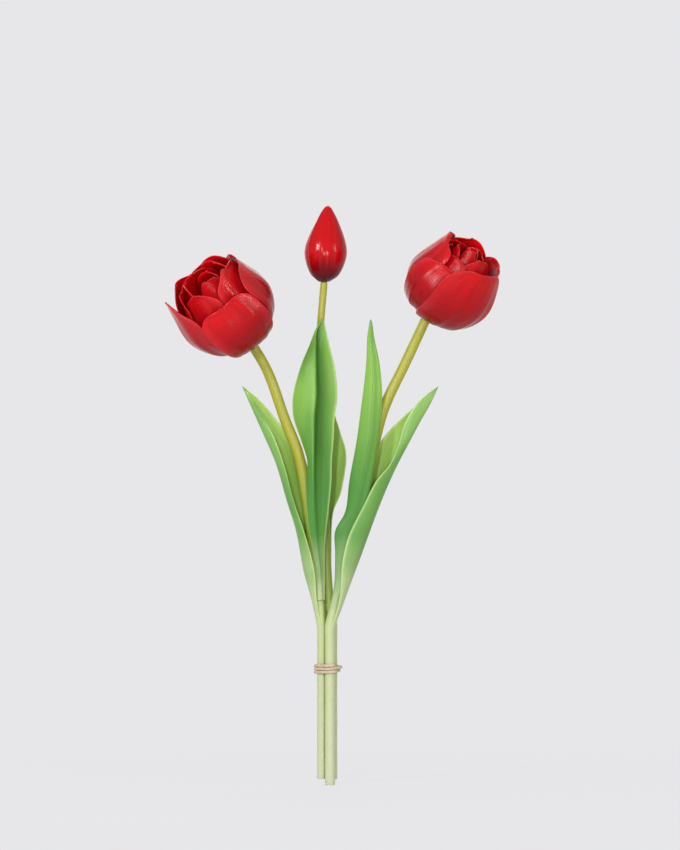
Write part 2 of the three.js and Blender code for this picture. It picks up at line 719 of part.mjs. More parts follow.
const leaves = [
  {
    name: 'left_outer_leaf',
    stem: leftStem,
    out: [-1, 0],
    firstRound: 0.8,
    secondRound: 0.8,
    foot: leftOuterLeafFoot,
    length: leftOuterLeafLength,
    rows: [
      { along: 0, keel: [0, 0], first: [-2.6, -4.2], second: [-4.4, 4.7] },
      { along: 0.14, keel: [0.2, 0], first: [-2.4, -4.4], second: [-3.2, 4.6] },
      { along: 0.257, keel: [2.9, 0], first: [-4, -5.8], second: [-4.2, 5.6] },
      { along: 0.421, keel: [5, 0.5], first: [-4.5, -7], second: [-0.2, 6.5] },
      { along: 0.538, keel: [8.6, 0.5], first: [-4, -8], second: [4.4, 7] },
      { along: 0.69, keel: [11.7, 0.5], first: [-3, -8], second: [6.8, 6] },
      { along: 0.795, keel: [13.4, 0], first: [-2.8, -6.5], second: [7.2, 4.5] },
      { along: 0.889, keel: [14.3, 0], first: [2.9, -4], second: [9.9, 2.5] },
      { along: 0.959, keel: [15.8, 0], first: [10.3, -1.5], second: [13.9, 1.2] },
      { along: 1, keel: [16.8, 0], first: [16.2, -0.4], second: [16.4, 0.4] },
    ],
  },
  {
    name: 'left_inner_leaf',
    stem: leftStem,
    out: [0, -1],
    firstRound: 0.2,
    secondRound: -0.5,
    foot: leftInnerLeafFoot,
    length: leftInnerLeafLength,
    rows: [
      { along: 0, keel: [0, 1.8], first: [-0.1, -1], second: [-2, 3.9] },
      { along: 0.108, keel: [0.8, 3.2], first: [1, 1], second: [-2, 6.6] },
      { along: 0.21, keel: [3.5, 3], first: [2.5, -0.6], second: [0, 8.9] },
      { along: 0.323, keel: [6, 4], first: [4, -0.9], second: [-1.5, 14] },
      { along: 0.425, keel: [7, 6.5], first: [2, 1.6], second: [-3, 18.9] },
      { along: 0.497, keel: [6.5, 9.2], first: [0, 5.3], second: [-4, 22.1] },
      { along: 0.569, keel: [6, 14.2], first: [-3, 5.6], second: [-5, 27.9] },
      { along: 0.651, keel: [5, 20.9], first: [-4, 6.2], second: [-6, 35] },
      { along: 0.723, keel: [3.5, 26.8], first: [-5, 10.7], second: [-7, 41.7] },
      { along: 0.826, keel: [0, 34.4], first: [-5, 24.1], second: [-8, 47.9] },
      { along: 0.902, keel: [-5.5, 43.3], first: [-7.5, 38.9], second: [-10, 53] },
      { along: 0.955, keel: [-9.5, 50.2], first: [-9.8, 49.1], second: [-11.5, 57] },
      { along: 1, keel: [-13, 59.7], first: [-13, 59.1], second: [-13, 60.3] },
    ],
  },
  {
    name: 'bud_leaf',
    stem: budStem,
    out: [0, 1],
    firstRound: 0.5,
    secondRound: 0.5,
    foot: budLeafFoot,
    length: budLeafLength,
    rows: [
      { along: 0, keel: [0, 0], first: [-1.4, -3], second: [-1.4, 3] },
      { along: 0.239, keel: [1, 0], first: [-2, -3.6], second: [-2, 4] },
      { along: 0.406, keel: [2.5, 0], first: [-1, -5.7], second: [-1, 5] },
      { along: 0.514, keel: [3.5, -2], first: [0, -11.7], second: [0, 6] },
      { along: 0.688, keel: [5, -4], first: [2, -16.7], second: [1.5, 5] },
      { along: 0.804, keel: [6, -4], first: [4, -12.5], second: [4, 4] },
      { along: 0.913, keel: [7, -4], first: [6, -8.9], second: [6, 1] },
      { along: 1, keel: [8, -4], first: [7.8, -4.8], second: [7.8, -3.2] },
    ],
  },
  {
    name: 'right_inner_leaf',
    stem: rightStem,
    out: [0, -1],
    firstRound: 0.4,
    secondRound: 0.4,
    foot: rightInnerLeafFoot,
    length: rightInnerLeafLength,
    rows: [
      { along: 0, keel: [-0.9, -3.4], first: [-4.7, -4.9], second: [0.2, 0.5] },
      { along: 0.108, keel: [-0.9, -3.8], first: [-4, -5.4], second: [0.2, 1] },
      { along: 0.207, keel: [0.4, -5], first: [-3, -9.7], second: [0.2, 1] },
      { along: 0.281, keel: [0.4, -8], first: [-2, -13.5], second: [0.2, 1.5] },
      { along: 0.345, keel: [1, -4.5], first: [-2, -10], second: [0, 3.5] },
      { along: 0.453, keel: [2, -3.8], first: [-2, -12.1], second: [0.5, 3.4] },
      { along: 0.591, keel: [3.5, -4.1], first: [0, -12.4], second: [1, 2.5] },
      { along: 0.724, keel: [3, -10.6], first: [0, -17.1], second: [1, -3.3] },
      { along: 0.847, keel: [2.5, -22.1], first: [1, -26.6], second: [1, -17.3] },
      { along: 0.936, keel: [2, -31.7], first: [1, -34], second: [1, -29.3] },
      { along: 1, keel: [1.5, -37.8], first: [1.3, -38.4], second: [1.3, -37.2] },
    ],
  },
  {
    name: 'right_outer_leaf',
    stem: rightStem,
    out: [1, 0],
    firstRound: 0.8,
    secondRound: 0.8,
    foot: rightOuterLeafFoot,
    length: rightOuterLeafLength,
    rows: [
      { along: 0, keel: [0, 0], first: [-4.4, -4.7], second: [-0.9, 2.9] },
      { along: 0.099, keel: [0.4, 0], first: [-2.4, -4.6], second: [-2.2, 4.2] },
      { along: 0.199, keel: [0.9, 0], first: [-5, -7.1], second: [-4, 5.2] },
      { along: 0.281, keel: [2.5, 0], first: [-8, -7.6], second: [-4, 5.8] },
      { along: 0.392, keel: [4.7, 0], first: [-8.5, -7.7], second: [-4.5, 6.5] },
      { along: 0.515, keel: [7.1, 0], first: [-3.6, -7.8], second: [-5, 7.5] },
      { along: 0.62, keel: [10.7, 0], first: [1.4, -7.5], second: [-5, 7.5] },
      { along: 0.69, keel: [14, 0], first: [9, -7], second: [-4, 7.5] },
      { along: 0.772, keel: [18.5, 0], first: [12.1, -5.5], second: [-1.1, 6] },
      { along: 0.854, keel: [22.4, 0], first: [12.5, -4], second: [6.9, 4] },
      { along: 0.936, keel: [25.8, 0], first: [17, -2], second: [18, 1.5] },
      { along: 1, keel: [25.9, 0], first: [25.2, -0.5], second: [25.4, 0.5] },
    ],
  },
];

// The whole bundle
const bundle = new THREE.Group();
for (const stem of [leftStem, rightStem, budStem]) {
  bundle.add(named(`${stem.name}_stem_shank`, shankGeometry(stem), materials.shank));
  bundle.add(named(`${stem.name}_stem_bend`, bendGeometry(stem), materials.shank));
  bundle.add(named(`${stem.name}_stem`, upperStemGeometry(stem), materials.stem));
  bundle.add(named(`${stem.name}_stem_wire`, wireGeometry(stem), materials.wire));
}
for (const head of [leftHead, rightHead, budHead]) {
  bundle.add(headGroup(head));
}
for (const leaf of leaves) {
  bundle.add(named(leaf.name, leafGeometry(leaf), materials.leaf));
}
bundle.add(named('stem_tie', tieGeometry(), materials.tie));

export default bundle;
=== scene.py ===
"""Artificial tulip bundle: moulded petals, channelled leaves, bent stems and a wound tie."""

import json
import math

import bmesh
import bpy
from bpy.props import FloatProperty, FloatVectorProperty, IntProperty, PointerProperty
from mathutils import Matrix, Vector


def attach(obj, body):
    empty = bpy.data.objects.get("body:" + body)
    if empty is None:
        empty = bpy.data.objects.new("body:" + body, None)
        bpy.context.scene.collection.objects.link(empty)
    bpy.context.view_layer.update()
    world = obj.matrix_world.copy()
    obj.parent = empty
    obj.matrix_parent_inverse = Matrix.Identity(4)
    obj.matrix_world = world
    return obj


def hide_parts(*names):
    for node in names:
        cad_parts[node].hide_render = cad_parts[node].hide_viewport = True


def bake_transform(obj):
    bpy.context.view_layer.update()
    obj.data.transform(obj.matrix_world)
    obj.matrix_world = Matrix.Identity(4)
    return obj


bl_info = {
    "name": "Artificial tulip bundle",
    "version": (1, 0, 0),
    "blender": (4, 5, 0),
    "location": "View3D > Sidebar > Tulips",
    "description": "Dresses the packed tulip bundle with petals, leaves, stems and a tie",
    "category": "Add Mesh",
}

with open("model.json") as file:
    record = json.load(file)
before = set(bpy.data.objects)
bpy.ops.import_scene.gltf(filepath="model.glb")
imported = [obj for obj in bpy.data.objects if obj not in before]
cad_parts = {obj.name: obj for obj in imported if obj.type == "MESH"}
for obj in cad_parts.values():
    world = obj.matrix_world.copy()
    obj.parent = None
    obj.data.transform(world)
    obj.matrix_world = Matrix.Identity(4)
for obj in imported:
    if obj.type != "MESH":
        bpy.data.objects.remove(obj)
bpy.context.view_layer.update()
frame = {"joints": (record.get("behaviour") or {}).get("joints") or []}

# Tables are in millimetres, as in the part's source. Meshes are in metres.
MM = 0.001

# Stems
SHANK_RADIUS = 3.5
SHANK_SPACING = 7.4
SHANK_TURN = 60
BUNDLE_TURN = 138
BEND_LOW = 90
BEND_HIGH = 102
STRAIGHT_TOP = 110
STEM_STEP = 3.0
LENGTH_STEPS = 600
HEIGHT_TRIES = 40
SLOPE_STEP = 1e-4
# The cut end: its edge's height and narrowing, its rim, and its hollow's wall and depth
CUT_EDGE = (0.35, 0.93)
CUT_RIM = 0.9
CUT_HOLLOW = (0.25, 0.5)
# The tip's rings in degrees, and the skin's waves by size, rate and start
TIP_ANGLES = (25, 50, 70, 84)
SKIN_WOBBLE = ((0.012, 0.19, 0), (0.008, 0.47, 1))
WIRE_RADIUS = 1.2
WIRE_ENDS = (8.4, 6.4)
WIRE_SIDES = 16

# Flower bases
CUP_GAP = 0.35
CUP_ARC = ((0.5, 0.87), (0.87, 0.5))
CUP_LIP = (0.3, 0.62)
SEAT_STEPS = ((1.3, 1.6), (1.5, 3.2))
BASE_TOP = 4.2
BASE_SIDES = 32
AXIS_GAP = 0.01
MERGE_GAP = 0.03

# Petals
NECK_RING = (4.0, 1.8)
FOOT_SHARE = 0.07
FOOT_SPREAD = 0.58
FOOT_LAYER = 0.25
PETAL_GAP = 0.3
PETAL_TIP_HALF = 0.5
PETAL_FOOT = 0.3
PETAL_WIDEST = 0.58
PETAL_EDGE = 0.65
PETAL_HEEL = 0.55
PETAL_THINNEST = 0.1
SHOULDER = (0.74, 0.22)
THROAT = (0.56, 0.65)
BUD_SHOULDER = (0.66, 0.22)
BUD_THROAT = (0.45, 0.65)
SEAT_FADE = 0.34
TIP_LAYER = 0.4
TIP_DOME = (2.2, 1.5)
RIPPLE_RATE = 0.24
SEED_PHASE = 1.7

# A groove has a depth, a half width and a drift. Furrows have a depth, a rate and a phase.
PETAL_GROOVE = (0.9, 0.09, 0.08)
PETAL_FURROWS = ((0.5, 9, 1), (0.3, 17, -2))
PETAL_WAVE = (0.6, 9, 2)

# Leaves. Creases have a depth, a place across the leaf and a half width.
LEAF_POINT = 0.03
LEAF_TIP = 0.2
LEAF_SINK = 0.25
LEAF_CLASP = 0.14
LEAF_EDGE = 0.4
LEAF_HEEL = 0.2
LEAF_THINNEST = 0.08
LEAF_RIBS = ((0.15, 13, 1), (0.05, 34, 0))
LEAF_WAVE = (19, 1.3, 2)
LEAF_CREASES = ((0.5, 0, 0.06), (1, 0.34, 0.2))

# Tie
TIE_HEIGHT = 80
TIE_STRAND = 0.85
TIE_SQUEEZE = 0.2
TIE_PITCH = 2.25
TIE_TURNS = 2.6
TIE_CLEARANCE = 0.35
TIE_SLACK = 1.4
TIE_SLACK_TURN = 1.75
TIE_SLACK_SPREAD = 0.07
TIE_STEPS = 48
TIE_ROUNDNESS = 4

# Finishes: each noise's scale on three axes, each bump's height in metres and strength
WHITE = (1, 1, 1, 1)
BLACK = (0, 0, 0, 1)
NOISE_ROUGHNESS = 0.55
PETAL_FINE = (26, 1.2, 1)
PETAL_BROAD = (8, 0.9, 1)
PETAL_STREAKS = (19, 0.5, 1)
PETAL_CLOUD = (45, 45, 45)
PETAL_BUMP = 0.0008
LEAF_FINE = (60, 1.2, 1)
LEAF_STREAKS = (10, 1.4, 1)
LEAF_CLOUD = (28, 28, 16)
LEAF_HEIGHTS = (0.105, 0.305)
LEAF_BUMP = (0.0005, 0.16)
STEM_STREAKS = (420, 420, 14)
STEM_CLOUD = (60, 60, 60)
STEM_HEIGHTS = (0.0, 0.36)
STEM_BUMP = (0.0004, 0.1)
# Painted shade where the stems face each other: greener and darker near the bundle's middle line, strongest
# within 3 mm and gone by 4.4 mm.
CREVICE_SHADE = (0.0044, 0.003)
BASE_GRAIN = (300, 300, 300)
TIE_GRAIN = (500, 500, 500)
WIRE_GRAIN = (900, 900, 60)
GRAIN_BUMP = (0.0003, 0.4)

# Stage, in metres and watts: each lamp's place, size and power
LAMPS = {
    "key_lamp": ((-0.95, -1.1, 0.8), (0.1, 0.4), 8.5),
    "fill_lamp": ((1.05, -0.95, 0.6), (0.08, 0.4), 3.5),
    "front_lamp": ((-0.3, -1.5, 0.6), (0.1, 0.3), 8.0),
    "low_lamp": ((0.2, -1.5, 0.2), (0.08, 0.3), 4.0),
    "top_lamp": ((0.1, 0.55, 1.3), (0.8, 0.8), 3.5),
    "back_lamp": ((-0.5, 1.5, 0.7), (1.8, 1.8), 7.0),
}
LAMP_AIM = (0, 0, 0.26)
ROOM_LIGHT = 0.36
FLOOR_REACH = 6
SHADOW_REACH = (0.05, 0.5)
SHADOW_SHARE = 0.86
SENSOR = 36
FARTHEST = 50


def shank_place(turn):
    """A shank's place beside the front one, at a turn about it in degrees."""
    angle = math.radians(turn)
    return (SHANK_SPACING * math.cos(angle), SHANK_SPACING * math.sin(angle))


SHANKS = {
    "left": shank_place(BUNDLE_TURN),
    "right": (0.0, 0.0),
    "bud": shank_place(BUNDLE_TURN - SHANK_TURN),
}

# Each bend gives how much of the way to the neck the stem has gone across, back and up.
STEMS = {
    "left": {
        "foot": 4,
        "neck": (-57.3, -4, 309.5),
        "swell": 3.9,
        "neck_radius": 3.5,
        "bends": [
            (0.074, 0.084, 0.156),
            (0.133, 0.24, 0.296),
            (0.2, 0.419, 0.436),
            (0.303, 0.553, 0.582),
            (0.493, 0.665, 0.712),
            (0.734, 0.832, 0.884),
        ],
    },
    "right": {
        "foot": 0,
        "neck": (68.1, -4, 325.8),
        "swell": 3.9,
        "neck_radius": 3.5,
        "bends": [
            (0.127, 0, 0.144),
            (0.228, 0, 0.273),
            (0.331, 0.125, 0.403),
            (0.455, 0.25, 0.593),
            (0.558, 0.4, 0.704),
            (0.762, 0.65, 0.839),
        ],
    },
    "bud": {
        "foot": 3.5,
        "neck": (-4.2, 10.5, 346.5),
        "swell": 2.9,
        "neck_radius": 2.5,
        "bends": [
            (0.477, 0.233, 0.093),
            (0.965, 0.54, 0.381),
            (1.366, 0.724, 0.643),
            (1.47, 0.847, 0.846),
        ],
    },
}

# A seat is the ring where a whorl is glued: its radius, height and belly height.
SEATS = {
    "outer": (8.5, 2.4, 24),
    "middle": (6.6, 7.6, 26),
    "inner": (4.8, 11.8, 28),
}
BUD_SEATS = {"outer": (4.6, 1.8, 21.5), "inner": (3.6, 5.2, 20)}

# What a petal has unless it says otherwise. Its layer and shingle count walls with
# their gaps, its skew and spread are in degrees, and its sharp is high for a pointed tip.
PETAL = {
    "layer": 0,
    "shingle": 1.07,
    "sharp": 0.5,
    "skew": 0,
    "spread": 90,
    "roll": 0.3,
    "ripple": 0.05,
    "closed": False,
}


def petal_at(turn, shares, **own):
    """A petal at a turn in degrees, with its share of its whorl's sizes and what is its own."""
    return {**PETAL, "turn": turn, "shares": shares, **own}


def bud_petal_at(turn, shares, **own):
    """A petal drawn tight, which neither rolls nor ripples unless it says so."""
    return petal_at(turn, shares, **{"roll": 0, "ripple": 0, **own})


HEADS = {
    "left": {"lean": -38, "nod": 32, "seats": SEATS, "form": (SHOULDER, THROAT)},
    "right": {"lean": 33, "nod": 25, "seats": SEATS, "form": (SHOULDER, THROAT)},
    "bud": {"lean": 3.5, "nod": 2, "seats": BUD_SEATS, "form": (BUD_SHOULDER, BUD_THROAT)},
}

# A whorl gives its height, belly radius, mouth radius and half width, then its petals.
WHORLS = {
    "left": {
        "outer": ((57, 34, 26.5, 24), [
            petal_at(-84, (0.84, 1, 1.03, 0.875), layer=2.1, shingle=0, sharp=0.38, skew=-8, roll=0.8),
            petal_at(-152, (1.12, 1, 1.11, 1), layer=-0.5, shingle=0, sharp=1.1, skew=-21, roll=0.6),
            petal_at(132, (1, 0.986, 1, 1), layer=-1.429, shingle=-0.786),
            petal_at(68, (1.02, 0.96, 0.905, 1), layer=-1.429, shingle=-0.786),
            petal_at(-2, (0.97, 0.97, 0.95, 1.12), layer=0.571, shingle=0, roll=0.6),
        ]),
        "middle": ((58, 27, 17, 18), [
            petal_at(-134, (1, 1, 0.95, 1.05), sharp=0.55),
            petal_at(168, (0.98, 1, 1.05, 0.944), sharp=0.6),
            petal_at(100, (0.98, 1, 1.05, 1)),
            petal_at(42, (1, 1, 1, 1)),
            petal_at(-38, (1.04, 1, 1.15, 1.15), sharp=0.35, roll=0.7),
        ]),
        "inner": ((57, 17, 8, 12.5), [
            petal_at(-78, (1, 1, 0.5, 1)),
            petal_at(50, (1, 1, 1.1, 1.077)),
            petal_at(172, (1.1, 1, 1.4, 1)),
        ]),
    },
    "right": {
        "outer": ((55, 30.4, 22.5, 24), [
            petal_at(
                -68, (1.04, 1.03, 1.05, 1.04), layer=1.857, shingle=0, sharp=0.8, skew=22,
                roll=0.8, ripple=0.08,
            ),
            petal_at(-122, (0.85, 1, 1.12, 0.74), layer=0.571, shingle=0, skew=14, roll=0.6),
            petal_at(-174, (1.07, 1, 0.82, 1.12), layer=-1.143, shingle=-0.786, sharp=0.36, roll=0.5),
            petal_at(100, (1.08, 1, 0.8, 1.04), layer=-1.571, shingle=-0.786, sharp=0.75),
            petal_at(20, (0.98, 1.03, 1.06, 1.08), layer=0.571, shingle=0, sharp=0.42, roll=0.7),
        ]),
        "middle": ((54, 24, 13, 16), [
            petal_at(-110, (0.96, 1, 1.071, 1)),
            petal_at(-165, (0.98, 1, 1, 0.938)),
            petal_at(135, (1, 1, 1, 1)),
            petal_at(50, (1, 1, 1.071, 1.125)),
            petal_at(-35, (1.04, 1, 1, 1.125)),
        ]),
        "inner": ((57, 14, 7, 10.5), [
            petal_at(-75, (1.02, 1, 0.35, 1), sharp=0.4, spread=56),
            petal_at(45, (1, 1, 1, 1.05), sharp=0.4, spread=56),
            petal_at(-155, (1, 1, 1.25, 1), sharp=0.4, spread=56),
        ]),
    },
    "bud": {
        "outer": ((51, 15, 2.6, 19), [
            bud_petal_at(
                -90, (1.045, 1, 0.12, 0.76), layer=0.43, shingle=-0.43, spread=54, roll=0.1, closed=True
            ),
            *(
                bud_petal_at(
                    turn, (height, 1, 0.12, 1), layer=-0.43, shingle=0.43, sharp=0.8, spread=76, closed=True
                )
                for turn, height in ((30, 1.03), (150, 1.02))
            ),
        ]),
        "inner": ((40, 9.8, 3.4, 7.4), [
            bud_petal_at(turn, (1, 1, 1, 1), shingle=0.455, sharp=0.7) for turn in (-30, 90, 210)
        ]),
    },
}

# A leaf's row gives its share of the length, then how far the keel, the first margin and the
# second margin stand out from the stem's skin and to the side of its centre.
LEAVES = {
    "left_outer_leaf": {
        "stem": "left",
        "out": (-1, 0),
        "rounds": (0.8, 0.8),
        "foot": 104,
        "length": 171,
        "clasp": True,
        "face": "wall",
        "fold": 0.0,
        "sway": 1.3,
        "rows": [
            (0, (0, 0), (-2.6, -4.2), (-4.4, 4.7)),
            (0.14, (0.2, 0), (-2.4, -4.4), (-3.2, 4.6)),
            (0.257, (2.9, 0), (-4, -5.8), (-4.2, 5.6)),
            (0.421, (5, 0.5), (-4.5, -7), (-0.2, 6.5)),
            (0.538, (8.6, 0.5), (-4, -8), (4.4, 7)),
            (0.69, (11.7, 0.5), (-3, -8), (6.8, 6)),
            (0.795, (13.4, 0), (-2.8, -6.5), (7.2, 4.5)),
            (0.889, (14.3, 0), (2.9, -4), (9.9, 2.5)),
            (0.959, (15.8, 0), (10.3, -1.5), (13.9, 1.2)),
            (1, (16.8, 0), (16.2, -0.4), (16.4, 0.4)),
        ],
    },
    "left_inner_leaf": {
        "stem": "left",
        "out": (0, -1),
        "rounds": (0.2, -0.5),
        "foot": 127,
        "length": 195,
        "clasp": False,
        "face": "folded",
        "fold": 1.6,
        "sway": 0.4,
        "rows": [
            (0, (0, 1.8), (-0.1, -1), (-2, 3.9)),
            (0.108, (0.8, 3.2), (1, 1), (-2, 6.6)),
            (0.21, (3.5, 3), (2.5, -0.6), (0, 8.9)),
            (0.323, (6, 4), (4, -0.9), (-1.5, 14)),
            (0.425, (7, 6.5), (2, 1.6), (-3, 18.9)),
            (0.497, (6.5, 9.2), (0, 5.3), (-4, 22.1)),
            (0.569, (6, 14.2), (-3, 5.6), (-5, 27.9)),
            (0.651, (5, 20.9), (-4, 6.2), (-6, 35)),
            (0.723, (3.5, 26.8), (-5, 10.7), (-7, 41.7)),
            (0.826, (0, 34.4), (-5, 24.1), (-8, 47.9)),
            (0.902, (-5.5, 43.3), (-7.5, 38.9), (-10, 53)),
            (0.955, (-9.5, 50.2), (-9.8, 49.1), (-11.5, 57)),
            (1, (-13, 59.7), (-13, 59.1), (-13, 60.3)),
        ],
    },
    "bud_leaf": {
        "stem": "bud",
        "out": (0, 1),
        "rounds": (0.5, 0.5),
        "foot": 132,
        "length": 138,
        "clasp": True,
        "face": "plain",
        "fold": 0.0,
        "sway": 0.8,
        "rows": [
            (0, (0, 0), (-1.4, -3), (-1.4, 3)),
            (0.239, (1, 0), (-2, -3.6), (-2, 4)),
            (0.406, (2.5, 0), (-1, -5.7), (-1, 5)),
            (0.514, (3.5, -2), (0, -11.7), (0, 6)),
            (0.688, (5, -4), (2, -16.7), (1.5, 5)),
            (0.804, (6, -4), (4, -12.5), (4, 4)),
            (0.913, (7, -4), (6, -8.9), (6, 1)),
            (1, (8, -4), (7.8, -4.8), (7.8, -3.2)),
        ],
    },
    "right_inner_leaf": {
        "stem": "right",
        "out": (0, -1),
        "rounds": (0.4, 0.4),
        "foot": 118,
        "length": 203,
        "clasp": True,
        "face": "plain",
        "fold": 0.25,
        "sway": 0.4,
        "rows": [
            (0, (-0.9, -3.4), (-4.7, -4.9), (0.2, 0.5)),
            (0.108, (-0.9, -3.8), (-4, -5.4), (0.2, 1)),
            (0.207, (0.4, -5), (-3, -9.7), (0.2, 1)),
            (0.281, (0.4, -8), (-2, -13.5), (0.2, 1.5)),
            (0.345, (1, -4.5), (-2, -10), (0, 3.5)),
            (0.453, (2, -3.8), (-2, -12.1), (0.5, 3.4)),
            (0.591, (3.5, -4.1), (0, -12.4), (1, 2.5)),
            (0.724, (3, -10.6), (0, -17.1), (1, -3.3)),
            (0.847, (2.5, -22.1), (1, -26.6), (1, -17.3)),
            (0.936, (2, -31.7), (1, -34), (1, -29.3)),
            (1, (1.5, -37.8), (1.3, -38.4), (1.3, -37.2)),
        ],
    },
    "right_outer_leaf": {
        "stem": "right",
        "out": (1, 0),
        "rounds": (0.8, 0.8),
        "foot": 104,
        "length": 171,
        "clasp": True,
        "face": "wall",
        "fold": 0.0,
        "sway": 1.3,
        "rows": [
            (0, (0, 0), (-4.4, -4.7), (-0.9, 2.9)),
            (0.099, (0.4, 0), (-2.4, -4.6), (-2.2, 4.2)),
            (0.199, (0.9, 0), (-5, -7.1), (-4, 5.2)),
            (0.281, (2.5, 0), (-8, -7.6), (-4, 5.8)),
            (0.392, (4.7, 0), (-8.5, -7.7), (-4.5, 6.5)),
            (0.515, (7.1, 0), (-3.6, -7.8), (-5, 7.5)),
            (0.62, (10.7, 0), (1.4, -7.5), (-5, 7.5)),
            (0.69, (14, 0), (9, -7), (-4, 7.5)),
            (0.772, (18.5, 0), (12.1, -5.5), (-1.1, 6)),
            (0.854, (22.4, 0), (12.5, -4), (6.9, 4)),
            (0.936, (25.8, 0), (17, -2), (18, 1.5)),
            (1, (25.9, 0), (25.2, -0.5), (25.4, 0.5)),
        ],
    },
}


def mix(first, second, share):
    return first + (second - first) * share


def smooth(value, low, high):
    share = min(1.0, max(0.0, (value - low) / (high - low)))
    return share * share * (3 - 2 * share)


def paint(red, green, blue):
    """A colour as it looks on screen, 0 to 255, as the linear colour that nodes take."""
    def linear(level):
        level /= 255
        return level / 12.92 if level <= 0.04045 else ((level + 0.055) / 1.055) ** 2.4

    return (linear(red), linear(green), linear(blue), 1.0)


class SmoothLine:
    """A smooth line through points, which makes no loop where they stand close."""

    def __init__(self, points):
        self.points = [Vector(point) for point in points]
        first, second = self.points[0], self.points[1]
        last, before = self.points[-1], self.points[-2]
        self.knots = [2 * first - second, *self.points, 2 * last - before]

    def at(self, share):
        spans = len(self.points) - 1
        span = min(int(max(share, 0) * spans), spans - 1)
        weight = share * spans - span
        a, b, c, d = self.knots[span:span + 4]
        steps = [max((end - start).length, 1e-6) ** 0.5 for start, end in ((a, b), (b, c), (c, d))]
        one, two, three = steps
        leave = ((b - a) / one - (c - a) / (one + two) + (c - b) / two) * two
        arrive = ((c - b) / two - (d - b) / (two + three) + (d - c) / three) * two
        square, cube = weight ** 2, weight ** 3
        return (
            b * (2 * cube - 3 * square + 1)
            + leave * (cube - 2 * square + weight)
            + c * (3 * square - 2 * cube)
            + arrive * (cube - square)
        )

    def slope(self, share):
        low, high = max(share - SLOPE_STEP, 0), min(share + SLOPE_STEP, 1)
        return (self.at(high) - self.at(low)).normalized()


class StemRoute:
    """A stem's centre line, read by the distance along it from its foot."""

    def __init__(self, name):
        facts = STEMS[name]
        shank = SHANKS[name]
        start = (*shank, STRAIGHT_TOP)
        straight = [(*shank, z) for z in (facts["foot"], BEND_LOW, BEND_HIGH, STRAIGHT_TOP)]
        curved = [
            tuple(mix(a, b, share) for a, b, share in zip(start, facts["neck"], bend))
            for bend in facts["bends"]
        ]
        self.name = name
        self.foot = facts["foot"]
        self.swell = facts["swell"]
        self.neck_radius = facts["neck_radius"]
        self.line = SmoothLine([*straight, *curved, facts["neck"]])
        self.marks = [0.0]
        spots = [self.line.at(step / LENGTH_STEPS) for step in range(LENGTH_STEPS + 1)]
        for before, after in zip(spots, spots[1:]):
            self.marks.append(self.marks[-1] + (after - before).length)
        self.length = self.marks[-1]

    def share(self, distance):
        low, high = 0, LENGTH_STEPS
        while high - low > 1:
            middle = (low + high) // 2
            if self.marks[middle] <= distance:
                low = middle
            else:
                high = middle
        part = (distance - self.marks[low]) / (self.marks[high] - self.marks[low])
        return (low + part) / LENGTH_STEPS

    def spot(self, distance):
        inside = min(max(distance, 0), self.length)
        share = self.share(inside)
        tangent = self.line.slope(share)
        return self.line.at(share) + tangent * (distance - inside), tangent

    def radius(self, distance):
        bend_top = BEND_HIGH - self.foot
        middle = (bend_top + self.length) / 2
        if distance <= bend_top:
            return SHANK_RADIUS
        if distance <= middle:
            return mix(SHANK_RADIUS, self.swell, smooth(distance, bend_top, middle))
        return mix(self.swell, self.neck_radius, smooth(distance, middle, self.length))

    def at_height(self, height):
        low, high = 0.0, 2 * self.length
        for _ in range(HEIGHT_TRIES):
            middle = (low + high) / 2
            if self.spot(middle)[0].z < height:
                low = middle
            else:
                high = middle
        return low, self.spot(low)[0]


ROUTES = {name: StemRoute(name) for name in STEMS}


def head_place(name):
    """The head's frame: its right, its back and its axis, at the stem's neck."""
    lean = math.radians(HEADS[name]["lean"])
    nod = math.radians(HEADS[name]["nod"])
    axis = Vector((
        math.sin(lean) * math.cos(nod), -math.sin(nod), math.cos(lean) * math.cos(nod)
    ))
    right = Vector((math.cos(lean), 0, -math.sin(lean)))
    back = axis.cross(right)
    turn = Matrix((right, back, axis)).transposed().to_4x4()
    return Matrix.Translation(Vector(STEMS[name]["neck"])) @ turn


def petal_half_width(petal, half, share):
    half *= petal["shares"][3]
    if share < PETAL_WIDEST:
        return half * mix(PETAL_FOOT, 1, math.sin(math.pi / 2 * share / PETAL_WIDEST))
    past = (share - PETAL_WIDEST) / (1 - PETAL_WIDEST)
    return max(PETAL_TIP_HALF, half * max(1 - past ** 2, 0) ** petal["sharp"])


